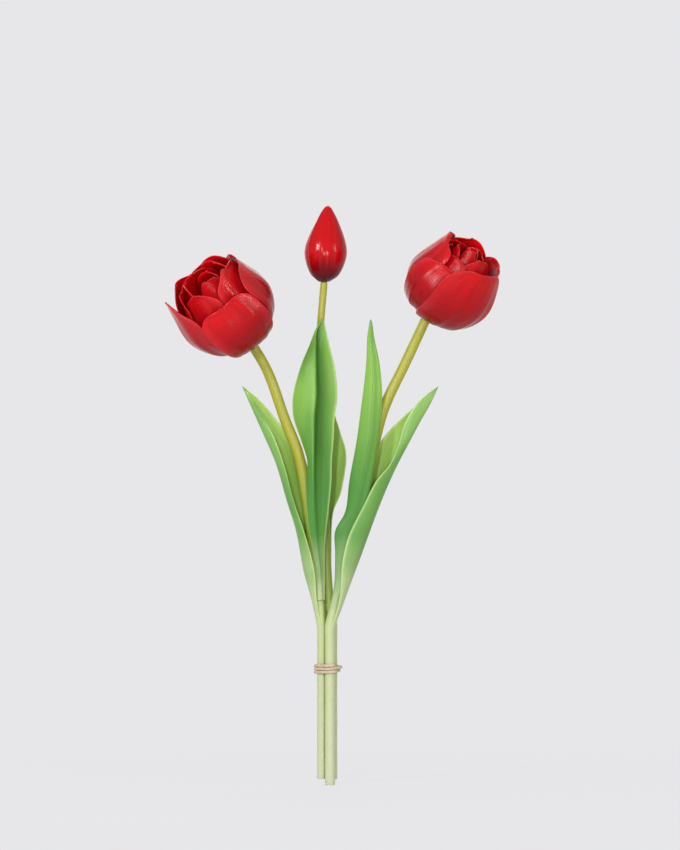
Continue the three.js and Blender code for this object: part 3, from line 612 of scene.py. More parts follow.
def petal_shape(petal, size, seat, form, thickness, seed):
    """The petal's middle surface in its head's frame, u from -1 to 1 and v from 0 to 1."""
    height, belly, mouth, _ = (whole * share for whole, share in zip(size, petal["shares"]))
    radius, rise, belly_height = seat
    shoulder, throat = form
    dome = [(mouth + TIP_DOME[0], height - TIP_DOME[1], 0)] if petal["closed"] else []
    profile = SmoothLine([
        (radius, rise, 0),
        (shoulder[0] * belly, mix(rise, belly_height, shoulder[1]), 0),
        (belly, belly_height, 0),
        (mix(belly, mouth, throat[0]), mix(belly_height, height, throat[1]), 0),
        *dome,
        (mouth, height, 0),
    ])
    turn, skew, widest = (math.radians(petal[key]) for key in ("turn", "skew", "spread"))
    neck_ring = Vector((min(NECK_RING[0], radius - 1), NECK_RING[1] + rise - SEATS["outer"][1], 0))
    seat_spread = petal_half_width(petal, size[3], 0) / radius

    def place(u, v):
        offset = (petal["layer"] + petal["shingle"] * u) * (thickness + PETAL_GAP)
        if v < FOOT_SHARE:
            share = v / FOOT_SHARE
            spot = neck_ring.lerp(Vector((radius, rise, 0)), share)
            slope = profile.slope(0)
            spread = mix(min(FOOT_SPREAD, seat_spread), seat_spread, share)
            offset *= mix(FOOT_LAYER, 1, share)
            fade = 0.0
        else:
            share = (v - FOOT_SHARE) / (1 - FOOT_SHARE)
            half = petal_half_width(petal, size[3], share)
            wave = (1 + math.sin(RIPPLE_RATE * u * half + SEED_PHASE * seed)) / 2
            dip = petal["ripple"] * smooth(share, 0.5, 1) * wave
            spot = profile.at(share * (1 - dip))
            slope = profile.slope(share)
            if petal["closed"]:
                offset *= mix(1, TIP_LAYER, smooth(share, 0.6, 1))
            spread = min(half / profile.at(share).x, widest)
            fade = smooth(share, 0, SEAT_FADE)
        angle = turn + skew * smooth(v, 0, 1) + u * spread
        out = spot.x + offset * slope.y * fade
        return Vector((out * math.cos(angle), out * math.sin(angle), spot.y - offset * slope.x))

    return place


def petal_relief(seed, depth, roll):
    """Furrows along the petal, a middle groove, and a margin that rolls out and waves."""
    phase = SEED_PHASE * seed
    groove_depth, groove_width, groove_drift = PETAL_GROOVE
    wave_size, wave_rate, wave_slant = PETAL_WAVE

    def relief(u, v):
        body = math.sin(math.pi * min(1, v * 1.1)) ** 0.7 if 0 < v < 0.9 else 0.0
        aside = (u + groove_drift * math.sin(phase)) / groove_width
        furrow = sum(size * math.cos(rate * u + start * phase) for size, rate, start in PETAL_FURROWS)
        edge = max(smooth(abs(u), 0.72, 1) * smooth(v, 0.3, 0.6), smooth(v, 0.9, 1))
        wave = wave_size * math.sin(wave_rate * v + phase + wave_slant * u)
        return depth * body * (furrow - groove_depth * math.exp(-aside ** 2)) + roll * edge * (1 + wave)

    return relief


def leaf_shape(leaf, thickness, clearance):
    """The leaf's middle surface, from its first margin over the keel to its second."""
    route = ROUTES[leaf["stem"]]
    out = Vector((*leaf["out"], 0))
    side = Vector((-out.y, out.x, 0))

    def line(which):
        spots = []
        for row in leaf["rows"]:
            distance, centre = route.at_height(leaf["foot"] + row[0] * leaf["length"])
            skin = route.radius(distance) + clearance + thickness / 2
            outwards, sideways = row[which]
            spots.append(centre + out * (skin + outwards) + side * sideways)
        return SmoothLine(spots)

    keel_line, first_line, second_line = line(1), line(2), line(3)

    def place(u, v):
        keel = keel_line.at(v)
        margin = (first_line if u < 0 else second_line).at(v)
        past = max(0, (v - 1) / LEAF_POINT + 1)
        margin = keel.lerp(margin, max(LEAF_TIP, math.sqrt(1 - min(1, past) ** 2)))
        bow = leaf["rounds"][0 if u < 0 else 1]
        share = abs(u)
        across = margin - keel
        control = (keel + margin) / 2
        control += side * (0.5 * bow * across.dot(side)) - out * (0.5 * bow * across.dot(out))
        spot = keel * (1 - share) ** 2 + control * (2 * share * (1 - share)) + margin * share ** 2
        if leaf["clasp"]:
            distance, centre = route.at_height(spot.z)
            away = Vector((spot.x - centre.x, spot.y - centre.y, 0)).normalized()
            sunk = centre + away * (route.radius(distance) - LEAF_SINK)
            spot = spot.lerp(sunk, 1 - smooth(v, 0, LEAF_CLASP))
        return spot

    return place


def leaf_relief(seed, depth, fold, sway):
    """Long ribs, a wave along both margins, a crease at the keel and a broad hollow beside it."""
    wave_rate, wave_phase, wave_slant = LEAF_WAVE

    def relief(u, v):
        body = smooth(v, 0.03, 0.2) * (1 - smooth(v, 0.88, 1))
        ribs = sum(size * math.cos(rate * u + start * seed) for size, rate, start in LEAF_RIBS)
        wave = math.sin(wave_rate * v + wave_phase * seed + wave_slant * u) * smooth(v, 0.2, 0.5)
        crease = sum(size * math.exp(-((u - spot) / half) ** 2) for size, spot, half in LEAF_CREASES)
        return body * (depth * ribs + sway * abs(u) ** 3 * wave - fold * smooth(v, 0.15, 0.4) * crease)

    return relief


def new_piece(name, body, materials):
    """A piece with smooth faces, from a mesh that is in millimetres."""
    bmesh.ops.scale(body, vec=(MM, MM, MM), verts=body.verts)
    mesh = bpy.data.meshes.new(name)
    body.to_mesh(mesh)
    body.free()
    for material in materials:
        mesh.materials.append(material)
    for face in mesh.polygons:
        face.use_smooth = True
    piece = bpy.data.objects.new(name, mesh)
    bpy.context.scene.collection.objects.link(piece)
    return piece


def round_off(piece):
    rounding = piece.modifiers.new("rounding", "SUBSURF")
    rounding.levels = rounding.render_levels = 1


def sheet_piece(name, columns, rows, place, relief, thin, materials):
    """A moulded sheet: a grid laid over a surface, raised by its relief, thinned at its edges."""
    sheet = bmesh.new()
    sheet.loops.layers.uv.new("along")
    bmesh.ops.create_grid(sheet, x_segments=columns, y_segments=rows, size=1, calc_uvs=True)
    weights = sheet.verts.layers.deform.verify()
    along = sheet.loops.layers.uv["along"]
    places = {}
    # Rows stand closer together towards the tip.
    for vert in sheet.verts:
        u = vert.co.x
        v = math.sin(math.pi / 4 * (vert.co.y + 1))
        places[vert] = (u, v)
        vert.co = place(u, v)
        vert[weights][0] = thin(u, v)
    for face in sheet.faces:
        for loop in face.loops:
            u, v = places[loop.vert]
            loop[along].uv = ((u + 1) / 2, v)
    sheet.normal_update()
    for vert, (u, v) in places.items():
        vert.co += vert.normal * relief(u, v)
    piece = new_piece(name, sheet, materials)
    piece.vertex_groups.new(name="thickness")
    return piece


def give_wall(piece, thickness, thinnest):
    """An even wall on both sides of a sheet, then one level of smoothing."""
    wall = piece.modifiers.new("wall", "SOLIDIFY")
    wall.thickness = thickness
    wall.offset = 0
    wall.vertex_group = "thickness"
    wall.thickness_vertex_group = thinnest
    wall.material_offset = 1
    round_off(piece)


def new_finish(name, **sockets):
    material = bpy.data.materials.new(name)
    material.use_nodes = True
    shader = material.node_tree.nodes["Principled BSDF"]
    for socket, value in sockets.items():
        shader.inputs[socket.replace("_", " ")].default_value = value
    return material, material.node_tree, shader


def add_node(tree, kind, inputs=None, **settings):
    node = tree.nodes.new(kind)
    for key, value in settings.items():
        setattr(node, key, value)
    for key, value in (inputs or {}).items():
        if isinstance(value, bpy.types.NodeSocket):
            tree.links.new(value, node.inputs[key])
        else:
            node.inputs[key].default_value = value
    return node


def mixed(tree, share, first, second, mode="MIX"):
    """The socket of a colour mix; each input is a socket or a value."""
    factor, colour_a, colour_b, result = 0, 6, 7, 2
    inputs = {factor: share, colour_a: first, colour_b: second}
    node = add_node(tree, "ShaderNodeMix", inputs, data_type="RGBA", blend_type=mode)
    return node.outputs[result]


def ramp(tree, value, stops):
    node = add_node(tree, "ShaderNodeValToRGB", {"Fac": value})
    elements = node.color_ramp.elements
    while len(elements) < len(stops):
        elements.new(0.5)
    for element, (position, colour) in zip(elements, stops):
        element.position = position
        element.color = colour
    return node.outputs["Color"]


def ranged(tree, value, from_low, from_high, to_low, to_high):
    return add_node(tree, "ShaderNodeMapRange", {
        "Value": value, "From Min": from_low, "From Max": from_high, "To Min": to_low, "To Max": to_high
    }, interpolation_type="SMOOTHSTEP").outputs["Result"]


def tinted(tree, colour, other, value, low, high, share):
    """A colour that turns into another, up to a share, as a value goes from low to high."""
    return mixed(tree, ranged(tree, value, low, high, 0, share), colour, other)


def worked(tree, operation, *values):
    """The socket of a sum on sockets or values."""
    return add_node(tree, "ShaderNodeMath", dict(enumerate(values)), operation=operation).outputs[0]


def times(tree, first, *others):
    for other in others:
        first = worked(tree, "MULTIPLY", first, other)
    return first


def noise(tree, vector, scale, detail):
    """The value of a noise stretched by a scale on each axis."""
    stretched = add_node(tree, "ShaderNodeMapping", {"Vector": vector, "Scale": scale})
    return add_node(tree, "ShaderNodeTexNoise", {
        "Vector": stretched.outputs["Vector"], "Scale": 1.0, "Detail": detail, "Roughness": NOISE_ROUGHNESS
    }).outputs["Fac"]


def own_place(tree):
    return add_node(tree, "ShaderNodeTexCoord").outputs["Object"]


def risen(tree, place, heights):
    """0 at the lower of two heights and 1 at the upper."""
    height = add_node(tree, "ShaderNodeSeparateXYZ", {"Vector": place}).outputs["Z"]
    low, high = heights
    share = add_node(tree, "ShaderNodeMapRange", {"Value": height, "From Min": low, "From Max": high})
    return share.outputs["Result"]


def along_uv(tree):
    """The piece's own map: across and along, and both together."""
    uv = add_node(tree, "ShaderNodeUVMap", uv_map="along").outputs["UV"]
    split = add_node(tree, "ShaderNodeSeparateXYZ", {"Vector": uv})
    return uv, split.outputs["X"], split.outputs["Y"]


def edge_share(tree, across):
    """0 at the middle of a sheet and 1 at its margins."""
    return times(tree, worked(tree, "ABSOLUTE", worked(tree, "SUBTRACT", across, 0.5)), 2.0)


def bump(tree, height, distance, strength):
    node = add_node(tree, "ShaderNodeBump", {"Height": height, "Distance": distance, "Strength": strength})
    return node.outputs["Normal"]


def lead_in(tree, shader, colour, roughness, normal):
    for socket, name in ((colour, "Base Color"), (roughness, "Roughness"), (normal, "Normal")):
        tree.links.new(socket, shader.inputs[name])


def mixed_paint(first, second, share):
    return tuple(mix(a, b, share) for a, b in zip(first, second))


def petal_finish(name, stops, vein, rim_tint_sheen_shade, rim_tint_sheen_shade_share, roughness, ridges, low_streaks=0.0, veins=1.0):
    """Soft moulded plastic with long veins from the foot to the margin."""
    material, tree, shader = new_finish(name, Specular_IOR_Level=0.16)
    uv, across, along = along_uv(tree)
    edge = edge_share(tree, across)
    fine = noise(tree, uv, PETAL_FINE, 2)
    broad = noise(tree, uv, PETAL_BROAD, 2)
    cloud = noise(tree, own_place(tree), PETAL_CLOUD, 2)
    colour = ramp(tree, along, stops)
    colour = tinted(tree, colour, vein, broad, 0.45, 0.66, 0.5 * veins)
    colour = tinted(tree, colour, vein, fine, 0.48, 0.7, 0.4 * veins)
    colour = tinted(tree, colour, vein, cloud, 0.5, 0.72, 0.12)
    if low_streaks:
        lines = ranged(tree, noise(tree, uv, PETAL_STREAKS, 2), 0.4, 0.62, 0, 1)
        low = ranged(tree, along, 0.5, 0.3, 0, low_streaks)
        middle = ranged(tree, edge, 0.62, 0.3, 0, 1)
        colour = mixed(tree, times(tree, lines, low, middle), colour, vein)
    # The margins take the rim colour, patchy by the cloud noise: a painted pink sheen on the open heads'
    # outer faces, painted shade on the bud's outer faces, and a tint towards another red on the inner
    # faces.
    rim_tint_sheen_shade_mask = times(tree, ranged(tree, edge, 0.6, 1, 0, rim_tint_sheen_shade_share), ranged(tree, cloud, 0.3, 0.7, 0.3, 1))
    colour = mixed(tree, rim_tint_sheen_shade_mask, colour, rim_tint_sheen_shade)
    gloss = ranged(tree, broad, 0.3, 0.7, roughness - 0.05, roughness + 0.08)
    relief = worked(tree, "MULTIPLY_ADD", fine, 0.6, broad)
    lead_in(tree, shader, colour, gloss, bump(tree, relief, PETAL_BUMP, ridges))
    return material


def leaf_finish(name, settings, middle, deep_share, valley_shade_share, roughness):
    """Satin leaf plastic: pale at the foot, deep green above it and lighter towards the tip."""
    low, deep, valley_shade = tuple(settings.low), tuple(settings.deep), tuple(settings.valley_shade)
    tip, margin = tuple(settings.tip), tuple(settings.margin)
    material, tree, shader = new_finish(name, Specular_IOR_Level=0.2)
    uv, across, along = along_uv(tree)
    edge = edge_share(tree, across)
    place = own_place(tree)
    fine = noise(tree, uv, LEAF_FINE, 2)
    streak = noise(tree, uv, LEAF_STREAKS, 2)
    cloud = noise(tree, place, LEAF_CLOUD, 2)
    band = mixed_paint(middle, deep, deep_share)
    colour = ramp(tree, risen(tree, place, LEAF_HEIGHTS), [
        (0, low),
        (0.16, mixed_paint(low, band, 0.25)),
        (0.34, band),
        (0.5, band),
        (0.85, middle),
        (1, middle),
    ])
    colour = tinted(tree, colour, deep, cloud, 0.45, 0.7, 0.6 * deep_share)
    colour = tinted(tree, colour, tip, streak, 0.42, 0.7, 0.2)
    lighter = mixed(tree, 1.0, colour, (1.15, 1.1, 1.1, 1), "MULTIPLY")
    colour = tinted(tree, colour, lighter, fine, 0.5, 0.75, 0.25)
    # Painted shade in the fold: the second half darkens beside the keel and fades out towards its margin,
    # and a dark line runs along the keel, where the crease lies in shade.
    beside = ranged(tree, across, 0.5, 0.53, 0, 1)
    dip = ranged(tree, across, 0.98, 0.68, 0, valley_shade_share)
    colour = mixed(tree, times(tree, beside, dip, ranged(tree, along, 0.2, 0.5, 0, 1)), colour, valley_shade)
    keel = times(tree, ranged(tree, edge, 0, 0.05, 0.55, 0), ranged(tree, along, 0.2, 0.4, 0, 1))
    colour = mixed(tree, keel, colour, valley_shade)
    # Painted highlight: lighter along both margins, where the rims catch the light.
    colour = tinted(tree, colour, margin, edge, 0.88, 1, 0.7)
    colour = tinted(tree, colour, tip, along, 0.93, 1, 0.8)
    gloss = ranged(tree, cloud, 0.3, 0.7, roughness - 0.06, roughness + 0.08)
    relief = worked(tree, "ADD", fine, streak)
    lead_in(tree, shader, colour, gloss, bump(tree, relief, *LEAF_BUMP))
    return material


def stem_finish(settings):
    """Satin stem sleeve: cream at the cut end, olive towards the flower, faintly streaked."""
    foot, pale = tuple(settings.foot), tuple(settings.pale)
    green, olive = tuple(settings.green), tuple(settings.olive)
    material, tree, shader = new_finish("stem_sleeve", Specular_IOR_Level=0.45)
    place = own_place(tree)
    streak = noise(tree, place, STEM_STREAKS, 3)
    cloud = noise(tree, place, STEM_CLOUD, 4)
    colour = ramp(tree, risen(tree, place, STEM_HEIGHTS), [
        (0, foot), (0.3, pale), (0.46, green), (0.62, olive), (1, olive)
    ])
    colour = tinted(tree, colour, pale, streak, 0.5, 0.7, 0.06)
    colour = tinted(tree, colour, olive, cloud, 0.55, 0.75, 0.18)
    # Painted shade in the crevice between the stems.
    colour = tinted(tree, colour, green, from_middle(tree, place), *CREVICE_SHADE, 0.8)
    gloss = ranged(tree, cloud, 0.3, 0.7, 0.36, 0.5)
    relief = worked(tree, "ADD", streak, cloud)
    lead_in(tree, shader, colour, gloss, bump(tree, relief, *STEM_BUMP))
    return material


def from_middle(tree, place):
    """How far a place is from the upright line in the middle of the three shanks."""
    middle = sum((Vector(shank) for shank in SHANKS.values()), Vector((0, 0))) * MM / len(SHANKS)
    value = place
    for operation, other in (("SUBTRACT", (*middle, 0)), ("MULTIPLY", (1, 1, 0))):
        value = add_node(tree, "ShaderNodeVectorMath", {0: value, 1: other}, operation=operation).outputs[0]
    return add_node(tree, "ShaderNodeVectorMath", {0: value}, operation="LENGTH").outputs["Value"]


def plain_finish(name, colour, grain, roughness, metallic=0.0):
    """A moulded, rubber or drawn-metal finish: one colour with a fine grain."""
    material, tree, shader = new_finish(name, Metallic=metallic, Specular_IOR_Level=0.4)
    speck = noise(tree, own_place(tree), grain, 4)
    grained = tinted(tree, colour, mixed_paint(colour, BLACK, 0.25), speck, 0.35, 0.7, 1)
    gloss = ranged(tree, speck, 0.3, 0.7, roughness - 0.08, roughness + 0.08)
    lead_in(tree, shader, grained, gloss, bump(tree, speck, *GRAIN_BUMP))
    return material


class StemSettings(bpy.types.PropertyGroup):
    """Sizes and colours of the stems."""

    sides: IntProperty(name="Sides", description="Faces round a stem", default=24, min=8)
    foot: FloatVectorProperty(
        name="Foot", description="Colour of the cut end", subtype="COLOR", size=4,
        default=paint(192, 196, 162))
    pale: FloatVectorProperty(
        name="Pale", description="Colour above the tie", subtype="COLOR", size=4,
        default=paint(180, 192, 138))
    green: FloatVectorProperty(
        name="Green", description="Colour among the leaves", subtype="COLOR", size=4,
        default=paint(138, 160, 58))
    olive: FloatVectorProperty(
        name="Olive", description="Colour below the flower", subtype="COLOR", size=4,
        default=paint(158, 156, 44))
    wire: FloatVectorProperty(
        name="Wire", description="Steel of the wires", subtype="COLOR", size=4,
        default=paint(150, 152, 156))


class PetalSettings(bpy.types.PropertyGroup):
    """Sizes and colours of the open heads' petals."""

    columns: IntProperty(name="Columns", description="Faces across a petal", default=30, min=8)
    rows: IntProperty(name="Rows", description="Faces along a petal", default=40, min=8)
    thickness: FloatProperty(
        name="Thickness", description="Petal thickness", unit="LENGTH", default=0.0011, precision=5)
    relief: FloatProperty(
        name="Relief", description="Depth of the furrows", unit="LENGTH", default=0.0004, precision=5)
    outside: FloatVectorProperty(
        name="Outside", description="Outer face", subtype="COLOR", size=4, default=paint(194, 16, 22))
    inside: FloatVectorProperty(
        name="Inside", description="Inner face", subtype="COLOR", size=4, default=paint(214, 8, 14))
    vein: FloatVectorProperty(
        name="Vein", description="Veins and furrows", subtype="COLOR", size=4, default=paint(152, 10, 18))
    # Painted sheen: the pinkish tint that the outer petals' margins take.
    rim_tint_sheen_shade: FloatVectorProperty(
        name="Bloom", description="Pinkish margins", subtype="COLOR", size=4, default=paint(212, 60, 66))
    # Partly painted shade: the darker red above the petal foot is the petals' own darker base and also the
    # shade on the heads' undersides.
    deep: FloatVectorProperty(
        name="Deep", description="Above the petal foot", subtype="COLOR", size=4, default=paint(116, 8, 18))
    base: FloatVectorProperty(
        name="Base", description="Petal foot at the stem", subtype="COLOR", size=4,
        default=paint(120, 62, 40))
    flower_base: FloatVectorProperty(
        name="Flower base", description="Plastic inside a flower", subtype="COLOR", size=4,
        default=paint(150, 158, 78))


class BudSettings(bpy.types.PropertyGroup):
    """Sizes and colours of the bud's petals."""

    thickness: FloatProperty(
        name="Thickness", description="Petal thickness", unit="LENGTH", default=0.0008, precision=5)
    relief: FloatProperty(
        name="Relief", description="Depth of the furrows", unit="LENGTH", default=0.00016, precision=5)
    skin: FloatVectorProperty(
        name="Skin", description="Upper bud", subtype="COLOR", size=4, default=paint(186, 12, 18))
    streak: FloatVectorProperty(
        name="Streak", description="Dark streaks", subtype="COLOR", size=4, default=paint(100, 4, 12))
    base: FloatVectorProperty(
        name="Base", description="Purple foot", subtype="COLOR", size=4, default=paint(52, 18, 30))


class LeafSettings(bpy.types.PropertyGroup):
    """Sizes and colours of the leaves."""

    columns: IntProperty(name="Columns", description="Faces across a leaf", default=44, min=8)
    rows: IntProperty(name="Rows", description="Faces along a leaf", default=90, min=8)
    thickness: FloatProperty(
        name="Thickness", description="Leaf thickness", unit="LENGTH", default=0.0012, precision=5)
    clearance: FloatProperty(
        name="Clearance", description="Gap to the stem", unit="LENGTH", default=0.0005, precision=5)
    relief: FloatProperty(
        name="Relief", description="Depth of the ribs", unit="LENGTH", default=0.00022, precision=5)
    outside: FloatVectorProperty(
        name="Outside", description="Outer face", subtype="COLOR", size=4, default=paint(126, 172, 72))
    wall: FloatVectorProperty(
        name="Wall", description="Outer face of a channel", subtype="COLOR", size=4,
        default=paint(140, 182, 96))
    deep: FloatVectorProperty(
        name="Deep", description="Darker patches", subtype="COLOR", size=4, default=paint(64, 126, 52))
    valley_shade: FloatVectorProperty(
        # Painted shade in the fold beside the keel.
        name="Valley", description="Beside the keel", subtype="COLOR", size=4, default=paint(52, 104, 24))
    # Painted light: the inner face is brightened past its own colour, to stand in for the light that the
    # leaves' channels keep from it.
    inside: FloatVectorProperty(
        name="Inside", description="Inner face", subtype="COLOR", size=4, default=paint(164, 200, 92))
    tip: FloatVectorProperty(
        name="Tip", description="Towards the tip", subtype="COLOR", size=4, default=paint(108, 152, 76))
    low: FloatVectorProperty(
        name="Low", description="Pale foot", subtype="COLOR", size=4, default=paint(188, 200, 150))
    # Painted highlight on the leaf margins.
    margin: FloatVectorProperty(
        name="Margin", description="Margin", subtype="COLOR", size=4, default=paint(186, 212, 136))


class TieSettings(bpy.types.PropertyGroup):
    """The wound rubber tie."""

    colour: FloatVectorProperty(
        name="Colour", description="Natural rubber", subtype="COLOR", size=4, default=paint(206, 184, 160))


class StageSettings(bpy.types.PropertyGroup):
    """Camera, light and backdrop."""

    backdrop: FloatVectorProperty(
        name="Backdrop", description="Flat pale grey", subtype="COLOR", size=4,
        default=paint(231, 231, 233))
    distance: FloatProperty(name="Distance", description="Camera distance", unit="LENGTH", default=3.2)
    field: FloatProperty(
        name="Field", description="Height of the view at the bundle", unit="LENGTH", default=0.5865)
    across: FloatProperty(name="Across", description="Centre of the view", unit="LENGTH", default=0.0069)
    height: FloatProperty(name="Height", description="Centre of the view", unit="LENGTH", default=0.2484)


def ring_place(route, distance, radius):
    """The place of a ring of that radius, square to a stem's centre line."""
    centre, tangent = route.spot(distance)
    right = (Vector((1, 0, 0)) - tangent * tangent.x).normalized()
    turn = Matrix((right, tangent.cross(right), tangent)).transposed().to_4x4()
    return Matrix.Translation(centre) @ turn @ Matrix.Diagonal((radius, radius, 1, 1))


def drawn_tube(rings, sides):
    """One ring drawn from place to place, with both ends filled."""
    tube = bmesh.new()
    ring = bmesh.ops.create_circle(tube, segments=sides, radius=1)["verts"]
    edges = tube.edges[:]
    before = Matrix.Identity(4)
    for index, after in enumerate(rings):
        if index:
            drawn = bmesh.ops.extrude_edge_only(tube, edges=edges)["geom"]
            ring = [item for item in drawn if isinstance(item, bmesh.types.BMVert)]
            edges = [item for item in drawn if isinstance(item, bmesh.types.BMEdge)]
        bmesh.ops.transform(tube, matrix=after @ before.inverted(), verts=ring)
        before = after
    ends = [edge for edge in tube.edges if edge.is_boundary]
    return tube, bmesh.ops.holes_fill(tube, edges=ends, sides=0)["faces"]


def closed_piece(name, body, finish):
    """A closed piece, with its faces turned outwards."""
    bmesh.ops.recalc_face_normals(body, faces=body.faces)
    return new_piece(name, body, [finish])


def bend_with_stem(piece, name):
    """Bake the piece's place into its mesh; the shank's place is looked up but not used."""
    x, y = SHANKS[name]
    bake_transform(piece)


class TULIP_OT_stems(bpy.types.Operator):
    """Sweep each stem's sleeve from its cut end to its neck"""

    bl_idname = "tulip.stems"
    bl_label = "Stems"

    def execute(self, context):
        settings = context.scene.tulip_stems
        finish = stem_finish(settings)
        for name, route in ROUTES.items():
            piece = self.sleeve(f"{name}_stem_sleeve", route, settings.sides, finish)
            bend_with_stem(piece, name)
            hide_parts(f"{name}_stem_shank", f"{name}_stem_bend", f"{name}_stem")
        return {"FINISHED"}

    def sleeve(self, name, route, sides, finish):
        """One ring drawn along the stem, closed by a cut end and a round tip."""
        steps = round(route.length / STEM_STEP)
        edge_height, edge_narrowing = CUT_EDGE
        stations = [(0.0, edge_narrowing), (edge_height, 1.0)]
        stations += [(route.length * step / steps, 1.0) for step in range(1, steps + 1)]
        for degrees in TIP_ANGLES:
            angle = math.radians(degrees)
            rise = route.neck_radius * math.sin(angle)
            stations.append((route.length + rise, math.cos(angle)))
        rings = []
        for distance, narrow in stations:
            wobble = 1 + sum(size * math.sin(rate * distance + start) for size, rate, start in SKIN_WOBBLE)
            radius = route.radius(min(distance, route.length))
            rings.append(ring_place(route, distance, radius * narrow * wobble))
        tube, caps = drawn_tube(rings, sides)
        cut_end = min(caps, key=lambda face: face.calc_center_median().z)
        wall, depth = CUT_HOLLOW
        bmesh.ops.inset_region(tube, faces=[cut_end], thickness=CUT_RIM, depth=0)
        bmesh.ops.inset_region(tube, faces=[cut_end], thickness=wall, depth=-depth)
        piece = closed_piece(name, tube, finish)
        round_off(piece)
        return piece


class TULIP_OT_wires(bpy.types.Operator):
    """Draw the steel wire inside each stem"""

    bl_idname = "tulip.wires"
    bl_label = "Wires"

    def execute(self, context):
        colour = tuple(context.scene.tulip_stems.wire)
        steel = plain_finish("annealed_wire", colour, WIRE_GRAIN, 0.38, metallic=1.0)
        low_end, high_end = WIRE_ENDS
        for name, route in ROUTES.items():
            length = route.length - low_end - high_end
            steps = round(length / STEM_STEP)
            distances = [low_end + length * step / steps for step in range(steps + 1)]
            rings = [ring_place(route, distance, WIRE_RADIUS) for distance in distances]
            tube, _ = drawn_tube(rings, WIRE_SIDES)
            piece = closed_piece(f"{name}_stem_wire_drawn", tube, steel)
            bend_with_stem(piece, name)
            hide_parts(f"{name}_stem_wire")
        return {"FINISHED"}


class TULIP_OT_flower_bases(bpy.types.Operator):
    """Turn the small base inside each flower that its petals are glued to"""

    bl_idname = "tulip.flower_bases"
    bl_label = "Flower bases"

    def execute(self, context):
        colour = tuple(context.scene.tulip_petals.flower_base)
        finish = plain_finish("flower_base_plastic", colour, BASE_GRAIN, 0.5)
        for name, head in HEADS.items():
            profile = self.profile(STEMS[name]["neck_radius"] + CUP_GAP, list(head["seats"].values()))
            piece = self.turned(f"{name}_flower_base_turned", profile, head_place(name), finish)
            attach(piece, f"{name}_head")
            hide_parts(f"{name}_flower_base")
        return {"FINISHED"}

    def profile(self, cup, seats):
        """From the cup that holds the neck, over its lip and up the seats' steps to the top."""
        spots = [(AXIS_GAP, cup)]
        spots += [(cup * out, cup * up) for out, up in CUP_ARC]
        spots.append((cup + CUP_LIP[0], cup * CUP_LIP[1]))
        for radius, rise, _ in seats:
            spots += [(radius - inset, rise + up) for inset, up in SEAT_STEPS]
        spots.append((AXIS_GAP, seats[-1][1] + BASE_TOP))
        return spots

    def turned(self, name, profile, place, finish):
        body = bmesh.new()
        verts = [body.verts.new((radius, 0, height)) for radius, height in profile]
        edges = [body.edges.new(pair) for pair in zip(verts, verts[1:])]
        bmesh.ops.spin(
            body, geom=[*verts, *edges], cent=(0, 0, 0), axis=(0, 0, 1), angle=2 * math.pi,
            steps=BASE_SIDES, use_merge=True,
        )
        bmesh.ops.remove_doubles(body, verts=body.verts, dist=MERGE_GAP)
        bmesh.ops.transform(body, matrix=place, verts=body.verts)
        return closed_piece(name, body, finish)


def petal_thinness(u, v):
    """A petal's share of its full thickness, less at its margin and its foot."""
    edge = max(abs(u) ** 6, smooth(v, 0.9, 1))
    return mix(1.0, PETAL_EDGE, edge) * mix(PETAL_HEEL, 1.0, smooth(v, 0, 0.12))


def add_petals(head_name, grid, settings, materials):
    """Every petal of one head, each over its own CAD petal."""
    head = HEADS[head_name]
    place = head_place(head_name)
    thick = settings.thickness / MM
    seed = 0
    for whorl, (size, petals) in WHORLS[head_name].items():
        for index, petal in enumerate(petals):
            seed += 1
            shape = petal_shape(petal, size, head["seats"][whorl], head["form"], thick, seed)
            relief = petal_relief(seed, settings.relief / MM, petal["roll"])
            node = f"{head_name}_{whorl}_petal_{index + 1}"
            piece = sheet_piece(
                f"{node}_moulded", grid.columns, grid.rows, lambda u, v: place @ shape(u, v),
                relief, petal_thinness, materials,
            )
            give_wall(piece, settings.thickness, PETAL_THINNEST)
            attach(piece, f"{head_name}_head")
            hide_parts(node)


class TULIP_OT_open_heads(bpy.types.Operator):
    """Mould the petals of the two open heads"""

    bl_idname = "tulip.open_heads"
    bl_label = "Open heads"

    def execute(self, context):
        settings = context.scene.tulip_petals
        outside, inside, deep = tuple(settings.outside), tuple(settings.inside), tuple(settings.deep)
        vein, rim_tint_sheen_shade, base = tuple(settings.vein), tuple(settings.rim_tint_sheen_shade), tuple(settings.base)
        outer = petal_finish(
            "petal_outside",
            # Darker towards the foot: partly the petals' own darker base, partly painted shade on the
            # heads' undersides.
            [(0, base), (0.12, deep), (0.26, deep), (0.55, vein), (0.82, outside), (1, outside)],
            # The outer margins get the painted pink sheen.
            vein, rim_tint_sheen_shade, rim_tint_sheen_shade_share=0.35, roughness=0.21, ridges=0.4,
        )
        inner = petal_finish(
            "petal_inside", [(0, vein), (0.3, inside), (1, inside)],
            vein, outside, rim_tint_sheen_shade_share=0.2, roughness=0.26, ridges=0.25,
        )
        for name in ("left", "right"):
            add_petals(name, settings, settings, [outer, inner])
        return {"FINISHED"}


